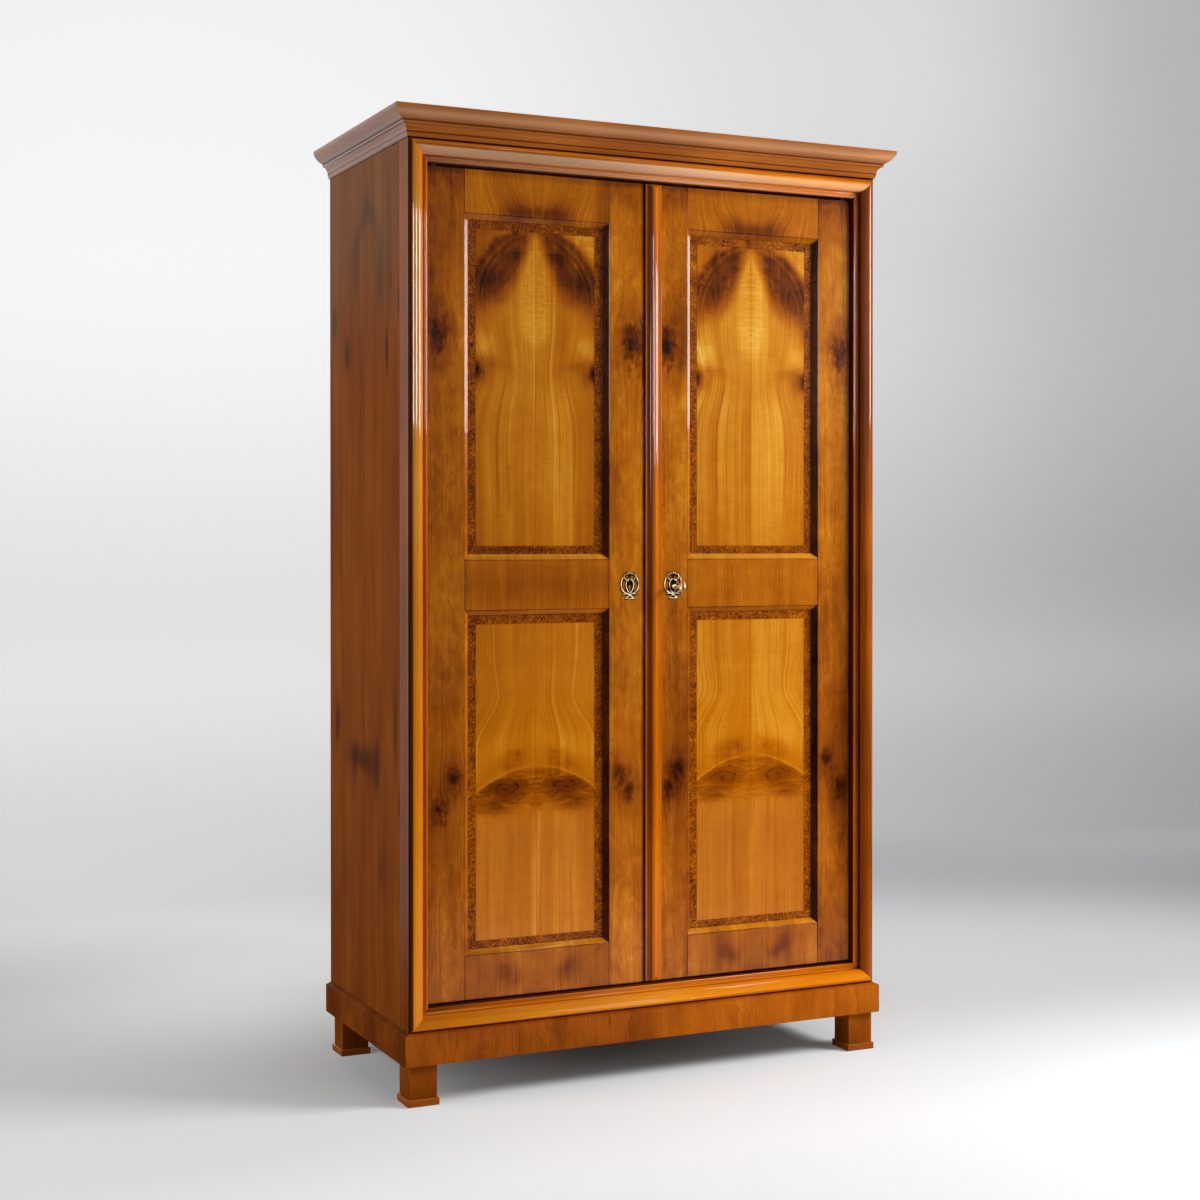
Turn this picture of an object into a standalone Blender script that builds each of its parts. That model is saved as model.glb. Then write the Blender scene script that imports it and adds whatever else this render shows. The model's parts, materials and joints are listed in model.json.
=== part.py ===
"""Two-door panelled wardrobe with a moulded face frame, a mitred cornice and block feet.

Metres, +Z up. The origin is on the floor, under the middle of the whole piece.
The doors face -Y. Heights are stacked from the floor, depths from the front of the case.
"""
import math

import bmesh
import bpy
from mathutils import Vector

# Clearance left between two pieces that touch, and how far a cutter runs past a face.
seat_gap = 0.0003
overrun = 0.004
mitre_gap = seat_gap * math.sqrt(2)

# Case: the box behind the face frame.
case_width = 1.040
case_depth = 0.493
case_height = 1.702
side_thickness = 0.022
board_thickness = 0.020
board_lap = 0.0037
dado_depth = 0.008
back_thickness = 0.012
back_rebate = 0.011
back_overlap = 0.010
back_board_count = 3

# Face frame: a flattened half round, a quirk and an inner bead.
frame_width = 0.043
frame_back_margin = 0.0045
frame_fillet = 0.0018
torus_radius = 0.014
torus_sink = 0.004
quirk_depth = 0.0060
bead_radius = 0.0055
bead_depth = 0.013
torus_steps = 12
bead_steps = 6

# Cornice, from the bottom up.
cornice_bead_height = 0.0095
cornice_cove_height = 0.0150
cornice_fillet_height = 0.0055
cornice_crown_height = 0.0205
cornice_fascia_height = 0.0060
cornice_bead_projection = 0.0050
cornice_fillet_projection = 0.0160
cornice_projection = 0.036
cornice_crown_belly = 0.0028
cornice_tail = 0.030
cornice_curve_steps = 6

# Plinth and feet.
plinth_height = 0.0625
plinth_thickness = 0.022
plinth_projection = 0.0107
plinth_bevel_height = 0.005
foot_height = 0.079
foot_width = 0.0565
foot_inset = 0.012
pad_height = 0.0144
pad_projection = 0.0036
pad_bevel = 0.0015

# Doors. Both panel openings start at the same offset from the middle line.
door_recess = 0.0215
door_thickness = 0.024
door_side_gap = 0.002
door_top_gap = 0.003
door_bottom_gap = 0.0025
meeting_offset = 0.0085
meeting_gap = 0.002
outer_stile_width = 0.0775
panel_offset = 0.0885
top_rail_height = 0.086
lock_rail_height = 0.098
bottom_rail_height = 0.0865
bevel_width = 0.010
bevel_lip = 0.0015
panel_sink = 0.012
groove_depth = 0.009
tongue_thickness = 0.006
panel_play = 0.0007
panel_field_thickness = 0.010
feather_width = 0.030
tenon_thickness = 0.007
tenon_length = 0.035
lock_tenon_length = 0.010
tenon_shoulder = 0.014
mortise_play = 0.0005

# Cover strip on the right door.
strip_width = 0.0355
strip_height = 0.010
strip_lip_width = 0.002
strip_lip_height = 0.002
strip_crown_radius = 0.0068
strip_end_gap = 0.001
strip_steps = 8

# Pivots: a pin plate in each end of the outer stile turns in a socket plate in the frame.
pivot_inset = 0.016
pivot_setback = 0.006
heel_clearance = 0.003
pin_radius = 0.0035
pin_engagement = 0.0045
pin_play = 0.0003
pin_bore_play = 0.001
pin_bore_depth = 0.003
pivot_plate_thickness = 0.003
pivot_plate_width = 0.011
pivot_plate_length = 0.050
socket_plate_width = 0.015
socket_plate_length = 0.044
bearing_radius = 0.0052
round_steps = 24

# Escutcheons, lock, key and sliding bolts.
escutcheon_width = 0.041
escutcheon_height = 0.056
escutcheon_thickness = 0.0015
escutcheon_curve_steps = 3
left_keyhole_backset = 0.0335
key_backset = 0.0625
key_height = 0.985
escutcheon_lift = 0.002
key_stem_radius = 0.003
key_play = 0.0008
key_bit_reach = 0.014
key_bit_thickness = 0.0025
key_bit_length = 0.006
key_bow_height = 0.026
key_bow_length = 0.024
key_bow_radius = 0.0021
key_bow_distance = 0.042
key_collar_radius = 0.0046
key_collar_length = 0.003
key_collar_standoff = 0.003
lock_case_thickness = 0.011
lock_case_wall = 0.0015
lock_case_above = 0.035
lock_case_below = 0.032
lock_case_tail = 0.0195
lock_bolt_height = 0.014
lock_bolt_thickness = 0.006
lock_bolt_rise = 0.011
lock_bolt_tail_gap = 0.004
lock_bolt_throw = 0.012
bolt_face_inset = 0.0006
slide_bolt_width = 0.015
slide_bolt_waist = 0.012
slide_bolt_thickness = 0.006
slide_bolt_length = 0.175
slide_bolt_throw = 0.015
slide_bolt_backset = 0.0205
slide_bolt_end_inset = 0.0008
slide_knob_radius = 0.004
slide_knob_length = 0.007
slide_knob_distance = 0.022

# Hat shelf, its cleats and the clothes rail.
hat_space_height = 0.1722
shelf_thickness = 0.018
shelf_front_setback = 0.075
shelf_side_gap = 0.0015
cleat_thickness = 0.018
cleat_height = 0.092
cleat_front_setback = 0.085
cleat_back_gap = 0.004
rail_radius = 0.014
rail_drop = 0.060
rail_steps = 28

# Places worked out from the sizes above.
cornice_height = (cornice_bead_height + cornice_cove_height + cornice_fillet_height
                  + cornice_crown_height + cornice_fascia_height)
half_width = case_width / 2
case_front = (cornice_projection - case_depth) / 2
case_back = case_front + case_depth
case_base = foot_height + plinth_height
case_top = case_base + case_height
overall_top = case_top + cornice_height
frame_depth = door_recess + door_thickness + frame_back_margin
frame_back = case_front + frame_depth
side_inner = half_width - side_thickness
opening_half = half_width - frame_width
opening_bottom = case_base + frame_width
opening_top = case_top - frame_width
door_front = case_front + door_recess
door_back = door_front + door_thickness
door_outer = opening_half - door_side_gap
door_bottom = opening_bottom + door_bottom_gap
door_top = opening_top - door_top_gap
left_door_edge = -meeting_offset - meeting_gap / 2
right_door_edge = -meeting_offset + meeting_gap / 2
panel_face = door_front + panel_sink
opening_outer = door_outer - outer_stile_width
opening_inner = panel_offset
door_height = door_top - door_bottom
panel_opening_height = (door_height - top_rail_height - lock_rail_height - bottom_rail_height) / 2
bottom_rail_z = (door_bottom, door_bottom + bottom_rail_height)
lock_rail_z = (bottom_rail_z[1] + panel_opening_height,
               bottom_rail_z[1] + panel_opening_height + lock_rail_height)
top_rail_z = (door_top - top_rail_height, door_top)
panel_rows = {"lower": (bottom_rail_z[1], lock_rail_z[0]), "upper": (lock_rail_z[1], top_rail_z[0])}
board_front = frame_back - board_lap
floor_board_z = (opening_bottom + seat_gap, opening_bottom + seat_gap + board_thickness)
top_board_z = (opening_top - seat_gap - board_thickness, opening_top - seat_gap)
back_face = case_back - back_thickness
shelf_height = top_board_z[0] - hat_space_height - shelf_thickness
pivot_x = door_outer - pivot_inset
pivot_y = door_front + pivot_setback
heel_reach = math.hypot(pivot_inset, door_thickness - pivot_setback) + heel_clearance
key_x = right_door_edge + key_backset
left_keyhole_x = left_door_edge - left_keyhole_backset
slide_bolt_x = left_door_edge - slide_bolt_backset
rail_centre_z = shelf_height - rail_drop
rail_y = (case_front + case_back) / 2

# Escutcheon outline and openings, as shares of its half width and half height.
escutcheon_outline_shares = [
    (0.00, 0.94), (0.10, 1.00), (0.22, 0.95), (0.32, 1.00), (0.46, 0.93), (0.56, 0.96), (0.62, 0.84),
    (0.55, 0.72), (0.60, 0.60), (0.78, 0.46), (0.93, 0.28), (1.00, 0.04), (0.97, -0.20),
    (0.84, -0.42), (0.66, -0.54), (0.86, -0.58), (0.70, -0.70), (0.44, -0.67), (0.26, -0.72),
    (0.40, -0.84), (0.56, -0.97), (0.28, -0.98), (0.00, -0.93)]
escutcheon_eye_shares = [(0.10, 0.62), (0.22, 0.50), (0.40, 0.56), (0.42, 0.70), (0.18, 0.74)]
escutcheon_crescent_shares = [
    (0.56, 0.42), (0.70, 0.32), (0.80, 0.12), (0.80, -0.12), (0.70, -0.34), (0.54, -0.46),
    (0.50, -0.22), (0.56, 0.04), (0.48, 0.24)]

# Finishes: colour, roughness and metallic value.
finish_values = {
    "figured_veneer": ((0.42, 0.17, 0.035), 0.25, 0.0),
    "burl_panel": ((0.50, 0.22, 0.05), 0.25, 0.0),
    "side_veneer": ((0.20, 0.085, 0.03), 0.30, 0.0),
    "moulding": ((0.36, 0.13, 0.025), 0.22, 0.0),
    "inner_pine": ((0.45, 0.28, 0.14), 0.65, 0.0),
    "brass": ((0.72, 0.53, 0.25), 0.30, 1.0),
    "iron": ((0.20, 0.18, 0.17), 0.50, 1.0),
}

world_places = {}


def clear_scene():
    for item in list(bpy.data.objects):
        bpy.data.objects.remove(item, do_unlink=True)


def make_finishes():
    """One plain Principled material for each finish."""
    finishes = {}
    for name, (colour, roughness, metallic) in finish_values.items():
        finish = bpy.data.materials.new(name)
        finish.use_nodes = True
        shader = finish.node_tree.nodes["Principled BSDF"]
        shader.inputs["Base Color"].default_value = (*colour, 1.0)
        shader.inputs["Roughness"].default_value = roughness
        shader.inputs["Metallic"].default_value = metallic
        finishes[name] = finish
    return finishes


def joint_empty(name, place, parent=None):
    """An empty on a joint's axis, which carries the pieces that move with it."""
    empty = bpy.data.objects.new(name, None)
    bpy.context.collection.objects.link(empty)
    world_places[name] = Vector(place)
    empty.location = Vector(place)
    if parent:
        empty.parent = bpy.data.objects[parent]
        empty.location -= world_places[parent]
    return name


def fill_mesh(data, mesh):
    """Shade only the curved faces smooth, so that flat ones stay flat where they are cut."""
    flat_limit, curve_limit = math.radians(1), math.radians(32)
    curved = [any(flat_limit < edge.calc_face_angle() < curve_limit for edge in face.edges)
              for face in mesh.faces]
    mesh.to_mesh(data)
    mesh.free()
    data.set_sharp_from_angle(angle=curve_limit)
    data.polygons.foreach_set("use_smooth", curved)


def add_piece(name, mesh, finish, place=(0, 0, 0), parent=None):
    """Turn a mesh made in world places into an object whose origin is at place."""
    place = Vector(place)
    bmesh.ops.translate(mesh, verts=mesh.verts, vec=-place)
    bmesh.ops.recalc_face_normals(mesh, faces=mesh.faces)
    data = bpy.data.meshes.new(name)
    fill_mesh(data, mesh)
    data.materials.append(finish)
    piece = bpy.data.objects.new(name, data)
    bpy.context.collection.objects.link(piece)
    world_places[name] = place
    piece.location = place
    if parent:
        piece.parent = bpy.data.objects[parent]
        piece.location -= world_places[parent]
    return piece


def shape_with(piece, tool_mesh, label, operation="DIFFERENCE"):
    """Cut a hidden tool out of a piece, or join it on. The tool is given in world places."""
    bmesh.ops.translate(tool_mesh, verts=tool_mesh.verts, vec=-world_places[piece.name])
    bmesh.ops.recalc_face_normals(tool_mesh, faces=tool_mesh.faces)
    name = f"{piece.name}_{label}"
    data = bpy.data.meshes.new(name)
    fill_mesh(data, tool_mesh)
    tool = bpy.data.objects.new(name, data)
    bpy.context.collection.objects.link(tool)
    tool.parent = piece
    tool.hide_render = True
    tool.display_type = "WIRE"
    modifier = piece.modifiers.new(label, "BOOLEAN")
    modifier.operation = operation
    modifier.solver = "EXACT"
    modifier.object = tool


def loft(section, start, end, caps=None):
    """Join a closed section at its start place to the same section at its end place.

    start and end turn a point of the section into a place. caps lists the flat faces that
    close each end, as section indices, where one flat face can't.
    """
    mesh = bmesh.new()
    rings = [[mesh.verts.new(where(*point)) for point in section] for where in (start, end)]
    count = len(section)
    for index in range(count):
        after = (index + 1) % count
        mesh.faces.new((rings[0][index], rings[0][after], rings[1][after], rings[1][index]))
    for ring in rings:
        for cap in caps or [range(count)]:
            mesh.faces.new([ring[index] for index in cap])
    return mesh


def prism(outline, axis, low, high):
    """Extrude a flat outline along x, y or z. The outline gives the other two in order."""
    def at(level):
        if axis == "x":
            return lambda a, b: (level, a, b)
        if axis == "y":
            return lambda a, b: (a, level, b)
        return lambda a, b: (a, b, level)
    return loft(outline, at(low), at(high))


def slab(x_span, y_span, z_span):
    outline = [(x_span[0], y_span[0]), (x_span[1], y_span[0]),
               (x_span[1], y_span[1]), (x_span[0], y_span[1])]
    return prism(outline, "z", *z_span)


def disc(radius, centre, steps=round_steps):
    return [(centre[0] + radius * math.cos(2 * math.pi * step / steps),
             centre[1] + radius * math.sin(2 * math.pi * step / steps)) for step in range(steps)]


def arc(centre, radius, first_degrees, last_degrees, steps):
    points = []
    for step in range(steps + 1):
        angle = math.radians(first_degrees + (last_degrees - first_degrees) * step / steps)
        points.append((centre[0] + radius * math.cos(angle), centre[1] + radius * math.sin(angle)))
    return points


def merge(meshes):
    """Collect meshes that don't touch into one."""
    whole = bmesh.new()
    for mesh in meshes:
        copies = {vert: whole.verts.new(vert.co) for vert in mesh.verts}
        for face in mesh.faces:
            whole.faces.new([copies[vert] for vert in face.verts])
        mesh.free()
    return whole


def side_span(side, low, high):
    """A span measured outwards from the middle line, on the left (-1) or right (+1)."""
    return (low, high) if side > 0 else (-high, -low)


def frame_section():
    """Points (in from the case's outer face, back from its front plane) of a frame member."""
    torus_centre = (frame_fillet + math.sqrt(torus_radius ** 2 - torus_sink ** 2), torus_sink)
    outer_angle = 180 + math.degrees(math.asin(torus_sink / torus_radius))
    inner_angle = 360 + math.degrees(math.asin((quirk_depth - torus_sink) / torus_radius))
    torus = arc(torus_centre, torus_radius, outer_angle, inner_angle, torus_steps)
    bead = arc((frame_width - bead_radius, bead_depth), bead_radius, 210, 360, bead_steps)
    quirk = ((torus[-1][0] + bead[0][0]) / 2, bead[0][1])
    return [(0, 0)] + torus + [quirk] + bead + [(frame_width, frame_depth), (0, frame_depth)]


def build_frame(finishes):
    section = frame_section()

    def upright(side, end):
        def where(s, d):
            mitre = s + mitre_gap / 2
            z = case_base + mitre if end == 0 else case_top - mitre
            return (side * (half_width - s), case_front + d, z)
        return where

    def level(row, end):
        def where(s, d):
            x = half_width - s - mitre_gap / 2
            z = case_base + s if row == "bottom" else case_top - s
            return (-x if end == 0 else x, case_front + d, z)
        return where

    for side, label in ((-1, "left"), (1, "right")):
        mesh = loft(section, upright(side, 0), upright(side, 1))
        add_piece(f"frame_{label}", mesh, finishes["moulding"], (side * half_width, case_front, case_base))
    for row, z in (("bottom", case_base), ("top", case_top)):
        mesh = loft(section, level(row, 0), level(row, 1))
        piece = add_piece(f"frame_{row}", mesh, finishes["moulding"], (0, case_front, z))
        cut_frame_recesses(piece, row)


def cut_frame_recesses(piece, row):
    """Beds for both socket plates, the pin bores behind them, and the bolt's mortise."""
    face = opening_bottom if row == "bottom" else opening_top
    inward = -1 if row == "bottom" else 1

    def span(far):
        return tuple(sorted((face - inward * overrun, face + inward * far)))

    bed_depth = pivot_plate_thickness + seat_gap
    half_bed = socket_plate_width / 2 + seat_gap
    bed_y = (pivot_y - half_bed, pivot_y + half_bed)
    beds = [slab(side_span(side, *socket_plate_span(seat_gap)), bed_y, span(bed_depth))
            for side in (-1, 1)]
    shape_with(piece, merge(beds), "plate_beds")
    bores = [prism(disc(pin_radius + pin_bore_play, (side * pivot_x, pivot_y)), "z",
                   *span(bed_depth + pin_bore_depth)) for side in (-1, 1)]
    shape_with(piece, merge(bores), "pin_bores")
    half_mortise = slide_bolt_width / 2 + mortise_play
    mortise_y = (door_back - slide_bolt_thickness - mortise_play, door_back + mortise_play)
    mortise = slab((slide_bolt_x - half_mortise, slide_bolt_x + half_mortise), mortise_y,
                   span(slide_bolt_throw + mortise_play))
    shape_with(piece, mortise, "bolt_mortise")


def socket_plate_span(play=0.0):
    """How far out a socket plate runs, measured from the wardrobe's middle line."""
    outer = opening_half - seat_gap * 2
    return (outer - socket_plate_length - play, outer + play)


def build_sockets(finishes):
    """Plates with a hole for the door's pin, flush with the frame's inner faces."""
    for row, face, inward in (("bottom", opening_bottom, -1), ("top", opening_top, 1)):
        z_span = tuple(sorted((face, face + inward * pivot_plate_thickness)))
        for side, label in ((-1, "left"), (1, "right")):
            plate = slab(side_span(side, *socket_plate_span()),
                         (pivot_y - socket_plate_width / 2, pivot_y + socket_plate_width / 2), z_span)
            place = (side * pivot_x, pivot_y, face)
            piece = add_piece(f"pivot_socket_{row}_{label}", plate, finishes["iron"], place)
            hole = disc(pin_radius + pin_play, (side * pivot_x, pivot_y))
            shape_with(piece, prism(hole, "z", z_span[0] - overrun, z_span[1] + overrun), "pin_hole")


def cornice_section():
    """Points (out from the case's face, height above the case's top) of a cornice member."""
    bead_top = cornice_bead_height
    cove_top = bead_top + cornice_cove_height
    fillet_top = cove_top + cornice_fillet_height
    crown_top = fillet_top + cornice_crown_height
    points = [(-cornice_tail, 0), (0, 0)]
    for step in range(1, cornice_curve_steps):
        angle = math.pi * step / cornice_curve_steps
        points.append((cornice_bead_projection * math.sin(angle / 2),
                       bead_top / 2 * (1 - math.cos(angle))))
    points.append((cornice_bead_projection, bead_top))
    cove_reach = cornice_fillet_projection - cornice_bead_projection
    for step in range(1, cornice_curve_steps + 1):
        angle = math.pi / 2 * step / cornice_curve_steps
        points.append((cornice_bead_projection + cove_reach * (1 - math.cos(angle)),
                       bead_top + cornice_cove_height * math.sin(angle)))
    crown_reach = cornice_projection - cornice_fillet_projection
    slope = math.hypot(crown_reach, cornice_crown_height)
    for step in range(cornice_curve_steps + 1):
        share = step / cornice_curve_steps
        belly = cornice_crown_belly * math.sin(math.pi * share)
        points.append((cornice_fillet_projection + crown_reach * share
                       + belly * cornice_crown_height / slope,
                       fillet_top + cornice_crown_height * share - belly * crown_reach / slope))
    points.append((cornice_projection, crown_top + cornice_fascia_height))
    points.append((-cornice_tail, crown_top + cornice_fascia_height))
    return points


def mitred_surround(name, section, base, finish):
    """Front and two side returns of a moulding that runs round the case, mitred in front."""
    def front(end):
        def where(p, h):
            x = half_width + p - mitre_gap / 2
            return (-x if end == 0 else x, case_front - p, base + h)
        return where

    def flank(side, end):
        def where(p, h):
            y = case_front - p + mitre_gap / 2 if end == 0 else case_back
            return (side * (half_width + p), y, base + h)
        return where

    add_piece(f"{name}_front", loft(section, front(0), front(1)), finish, (0, case_front, base))
    for side, label in ((-1, "left"), (1, "right")):
        mesh = loft(section, flank(side, 0), flank(side, 1))
        add_piece(f"{name}_{label}", mesh, finish, (side * half_width, case_front, base))


def build_cornice(finishes):
    section = [(p, max(h, seat_gap)) for p, h in cornice_section()]
    mitred_surround("cornice", section, case_top, finishes["moulding"])


def build_plinth(finishes):
    inner = plinth_projection - plinth_thickness
    top = plinth_height - seat_gap
    section = [(inner, 0), (plinth_projection, 0),
               (plinth_projection, plinth_height - plinth_bevel_height), (0, top), (inner, top)]
    mitred_surround("plinth", section, foot_height, finishes["figured_veneer"])
    reach = half_width + inner - seat_gap
    back = slab((-reach, reach), (case_back - plinth_thickness, case_back),
                (foot_height, foot_height + top))
    add_piece("plinth_back", back, finishes["inner_pine"], (0, case_back, foot_height))


def foot_places():
    """Outer corner of each foot, and the ways along x and y that lead into it."""
    x = half_width + plinth_projection - foot_inset
    front_y = case_front - plinth_projection + foot_inset
    rear_y = case_back - plinth_thickness - seat_gap
    return {"front_left": (-x, front_y, 1, 1), "front_right": (x, front_y, -1, 1),
            "rear_left": (-x, rear_y, 1, -1), "rear_right": (x, rear_y, -1, -1)}


def build_feet(finishes):
    """Square feet, rebated above so that the plinth boards sit on their shoulders."""
    rebate = plinth_thickness - foot_inset + seat_gap
    for label, (x, y, into_x, into_y) in foot_places().items():
        def ways(start_x, start_y, inner=foot_width):
            return (tuple(sorted((x + into_x * start_x, x + into_x * inner))),
                    tuple(sorted((y + into_y * start_y, y + into_y * inner))))
        mesh = slab(*ways(0, 0), (pad_height, case_base - seat_gap))
        foot = add_piece(f"foot_{label}", mesh, finishes["moulding"], (x, y, 0))
        shoulder = (foot_height - seat_gap, case_base + overrun)
        x_cut, y_all = ways(-overrun, -overrun, rebate)[0], ways(-overrun, -overrun,
                                                                foot_width + overrun)[1]
        shape_with(foot, slab(x_cut, y_all, shoulder), "side_rebate")
        if into_y > 0:
            x_all = ways(-overrun, -overrun, foot_width + overrun)[0]
            y_cut = ways(-overrun, -overrun, rebate)[1]
            shape_with(foot, slab(x_all, y_cut, shoulder), "front_rebate")
        pad_x, pad_y = ways(-pad_projection, -pad_projection, foot_width + pad_projection)
        build_pad(label, pad_x, pad_y, finishes)


def build_pad(label, x_span, y_span, finishes):
    """A flat sole with its top edge bevelled."""
    mesh = slab(x_span, y_span, (0, pad_height - seat_gap))
    upper = [edge for edge in mesh.edges if all(vert.co.z > 0 for vert in edge.verts)]
    bmesh.ops.bevel(mesh, geom=upper, offset=pad_bevel, segments=1, affect="EDGES")
    place = (sum(x_span) / 2, sum(y_span) / 2, 0)
    add_piece(f"pad_{label}", mesh, finishes["moulding"], place)


def build_sides(finishes):
    """Side boards, grooved for the floor and top boards and rebated for the back."""
    front = frame_back + seat_gap
    for side, label in ((-1, "left"), (1, "right")):
        mesh = slab(side_span(side, side_inner, half_width), (front, case_back), (case_base, case_top))
        piece = add_piece(f"side_{label}", mesh, finishes["side_veneer"],
                          (side * half_width, front, case_base))
        groove = side_span(side, side_inner - overrun, side_inner + dado_depth)
        grooves = [slab(groove, (front - overrun, back_face + seat_gap),
                        (z[0] - seat_gap, z[1] + seat_gap)) for z in (floor_board_z, top_board_z)]
        shape_with(piece, merge(grooves), "board_grooves")
        rebate = side_span(side, side_inner - overrun, side_inner + back_rebate)
        shape_with(piece, slab(rebate, (back_face, case_back + overrun),
                               (case_base - overrun, case_top + overrun)), "back_rebate")


def build_case_boards(finishes):
    """Floor and top boards. Their front corners are notched for the doors' swinging heels."""
    reach = side_inner + dado_depth - seat_gap
    for name, z_span in (("floor_board", floor_board_z), ("top_board", top_board_z)):
        mesh = slab((-reach, reach), (board_front, back_face - seat_gap), z_span)
        piece = add_piece(name, mesh, finishes["inner_pine"], (0, board_front, z_span[0]))
        notch_y = (board_front - overrun, pivot_y + heel_reach)
        notches = [slab(side_span(side, pivot_x - heel_reach, reach + overrun), notch_y,
                        (z_span[0] - overrun, z_span[1] + overrun)) for side in (-1, 1)]
        shape_with(piece, merge(notches), "heel_notches")


def build_back(finishes):
    """Upright boards in the sides' rebates, lapped half over half at their joints."""
    reach = side_inner + back_rebate - seat_gap
    pitch = 2 * reach / back_board_count
    middle = (back_face + seat_gap + case_back) / 2
    for index in range(back_board_count):
        low = -reach + pitch * index
        high = low + pitch
        front_low = low + (back_overlap / 2 if index else 0)
        back_low = low - (back_overlap / 2 - seat_gap if index else 0)
        last = index == back_board_count - 1
        front_high = high + (0 if last else back_overlap / 2 - seat_gap)
        back_high = high - (0 if last else back_overlap / 2)
        outline = [(front_low, back_face + seat_gap), (front_high, back_face + seat_gap),
                   (front_high, middle - seat_gap / 2), (back_high, middle - seat_gap / 2),
                   (back_high, case_back), (back_low, case_back),
                   (back_low, middle + seat_gap / 2), (front_low, middle + seat_gap / 2)]
        if last:
            outline = [point for place, point in enumerate(outline) if place not in (2, 3)]
        if index == 0:
            outline = outline[:6]
        mesh = prism(outline, "z", case_base, case_top)
        add_piece(f"back_board_{index + 1}", mesh, finishes["inner_pine"], (low, case_back, case_base))


def build_inside(finishes):
    """Hat shelf on two cleats, whose slots carry the clothes rail."""
    cleat_front = case_front + cleat_front_setback
    cleat_back = back_face - cleat_back_gap
    for side, label in ((-1, "left"), (1, "right")):
        x_span = side_span(side, side_inner - seat_gap - cleat_thickness, side_inner - seat_gap)
        low = shelf_height - seat_gap - cleat_height
        mesh = slab(x_span, (cleat_front, cleat_back), (low, shelf_height - seat_gap))
        piece = add_piece(f"shelf_cleat_{label}", mesh, finishes["inner_pine"],
                          (side * side_inner, cleat_front, low))
        fit = rail_radius + seat_gap
        slot = arc((rail_y, rail_centre_z), fit, 180, 360, rail_steps // 2)
        slot += [(rail_y + fit, shelf_height + overrun), (rail_y - fit, shelf_height + overrun)]
        shape_with(piece, prism(slot, "x", x_span[0] - overrun, x_span[1] + overrun), "rail_slot")
    rail_reach = side_inner - seat_gap
    rail = prism(disc(rail_radius, (rail_y, rail_centre_z), rail_steps), "x", -rail_reach, rail_reach)
    add_piece("clothes_rail", rail, finishes["moulding"], (0, rail_y, rail_centre_z))
    shelf_reach = side_inner - shelf_side_gap
    shelf = slab((-shelf_reach, shelf_reach), (case_front + shelf_front_setback, back_face - seat_gap),
                 (shelf_height, shelf_height + shelf_thickness))
    add_piece("hat_shelf", shelf, finishes["inner_pine"], (0, rail_y, shelf_height))


def panel_edge_section(edge):
    """Front to back outline of a member's panel edge. edge is where its face ends."""
    lip_front = panel_face - seat_gap - bevel_lip
    groove_front = panel_face - seat_gap
    groove_back = panel_face + tongue_thickness + seat_gap
    tip = edge + bevel_width
    groove_end = tip - groove_depth
    return [(edge, door_front), (tip, lip_front), (tip, groove_front), (groove_end, groove_front),
            (groove_end, groove_back), (tip, groove_back), (tip, door_back), (edge, door_back)]


def rail_section(height, grooved_below, grooved_above):
    """Points (height in the rail, y) and the flat caps that close a rail's mitred ends."""
    below = [(-u, y) for u, y in panel_edge_section(0)] if grooved_below else [(0, door_front),
                                                                              (0, door_back)]
    above = [(height + u, y) for u, y in panel_edge_section(0)] if grooved_above else [
        (height, door_front), (height, door_back)]
    points = below + above[::-1]
    first_back = len(below) - 1
    caps = [[0, first_back, first_back + 1, len(points) - 1]]
    if grooved_below:
        caps.append(list(range(first_back + 1)))
    if grooved_above:
        caps.append(list(range(first_back + 1, len(points))))
    return points, caps


def add_rail(name, side, z_span, grooved, tenons, finishes, parent):
    """A rail between the stiles, its bevels mitred into theirs, with a tenon at each end."""
    height = z_span[1] - z_span[0]
    section, caps = rail_section(height, *grooved)

    def where(end):
        def place(v, y):
            spread = max(0, -v, v - height) + mitre_gap
            x = opening_inner + spread if end == 0 else opening_outer - spread
            return (side * x, y, z_span[0] + v)
        return place

    piece = add_piece(name, loft(section, where(0), where(1), caps), finishes["figured_veneer"],
                      (side * (opening_inner + opening_outer) / 2, door_front, z_span[0]), parent)
    middle = (door_front + door_back) / 2
    y_span = (middle - tenon_thickness / 2, middle + tenon_thickness / 2)
    tenon_z = (z_span[0] + tenon_shoulder, z_span[1] - tenon_shoulder)
    inner = side_span(side, opening_inner - tenons[0], opening_inner + overrun)
    outer = side_span(side, opening_outer - overrun, opening_outer + tenons[1])
    shape_with(piece, merge([slab(inner, y_span, tenon_z), slab(outer, y_span, tenon_z)]),
               "tenons", "UNION")


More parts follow.
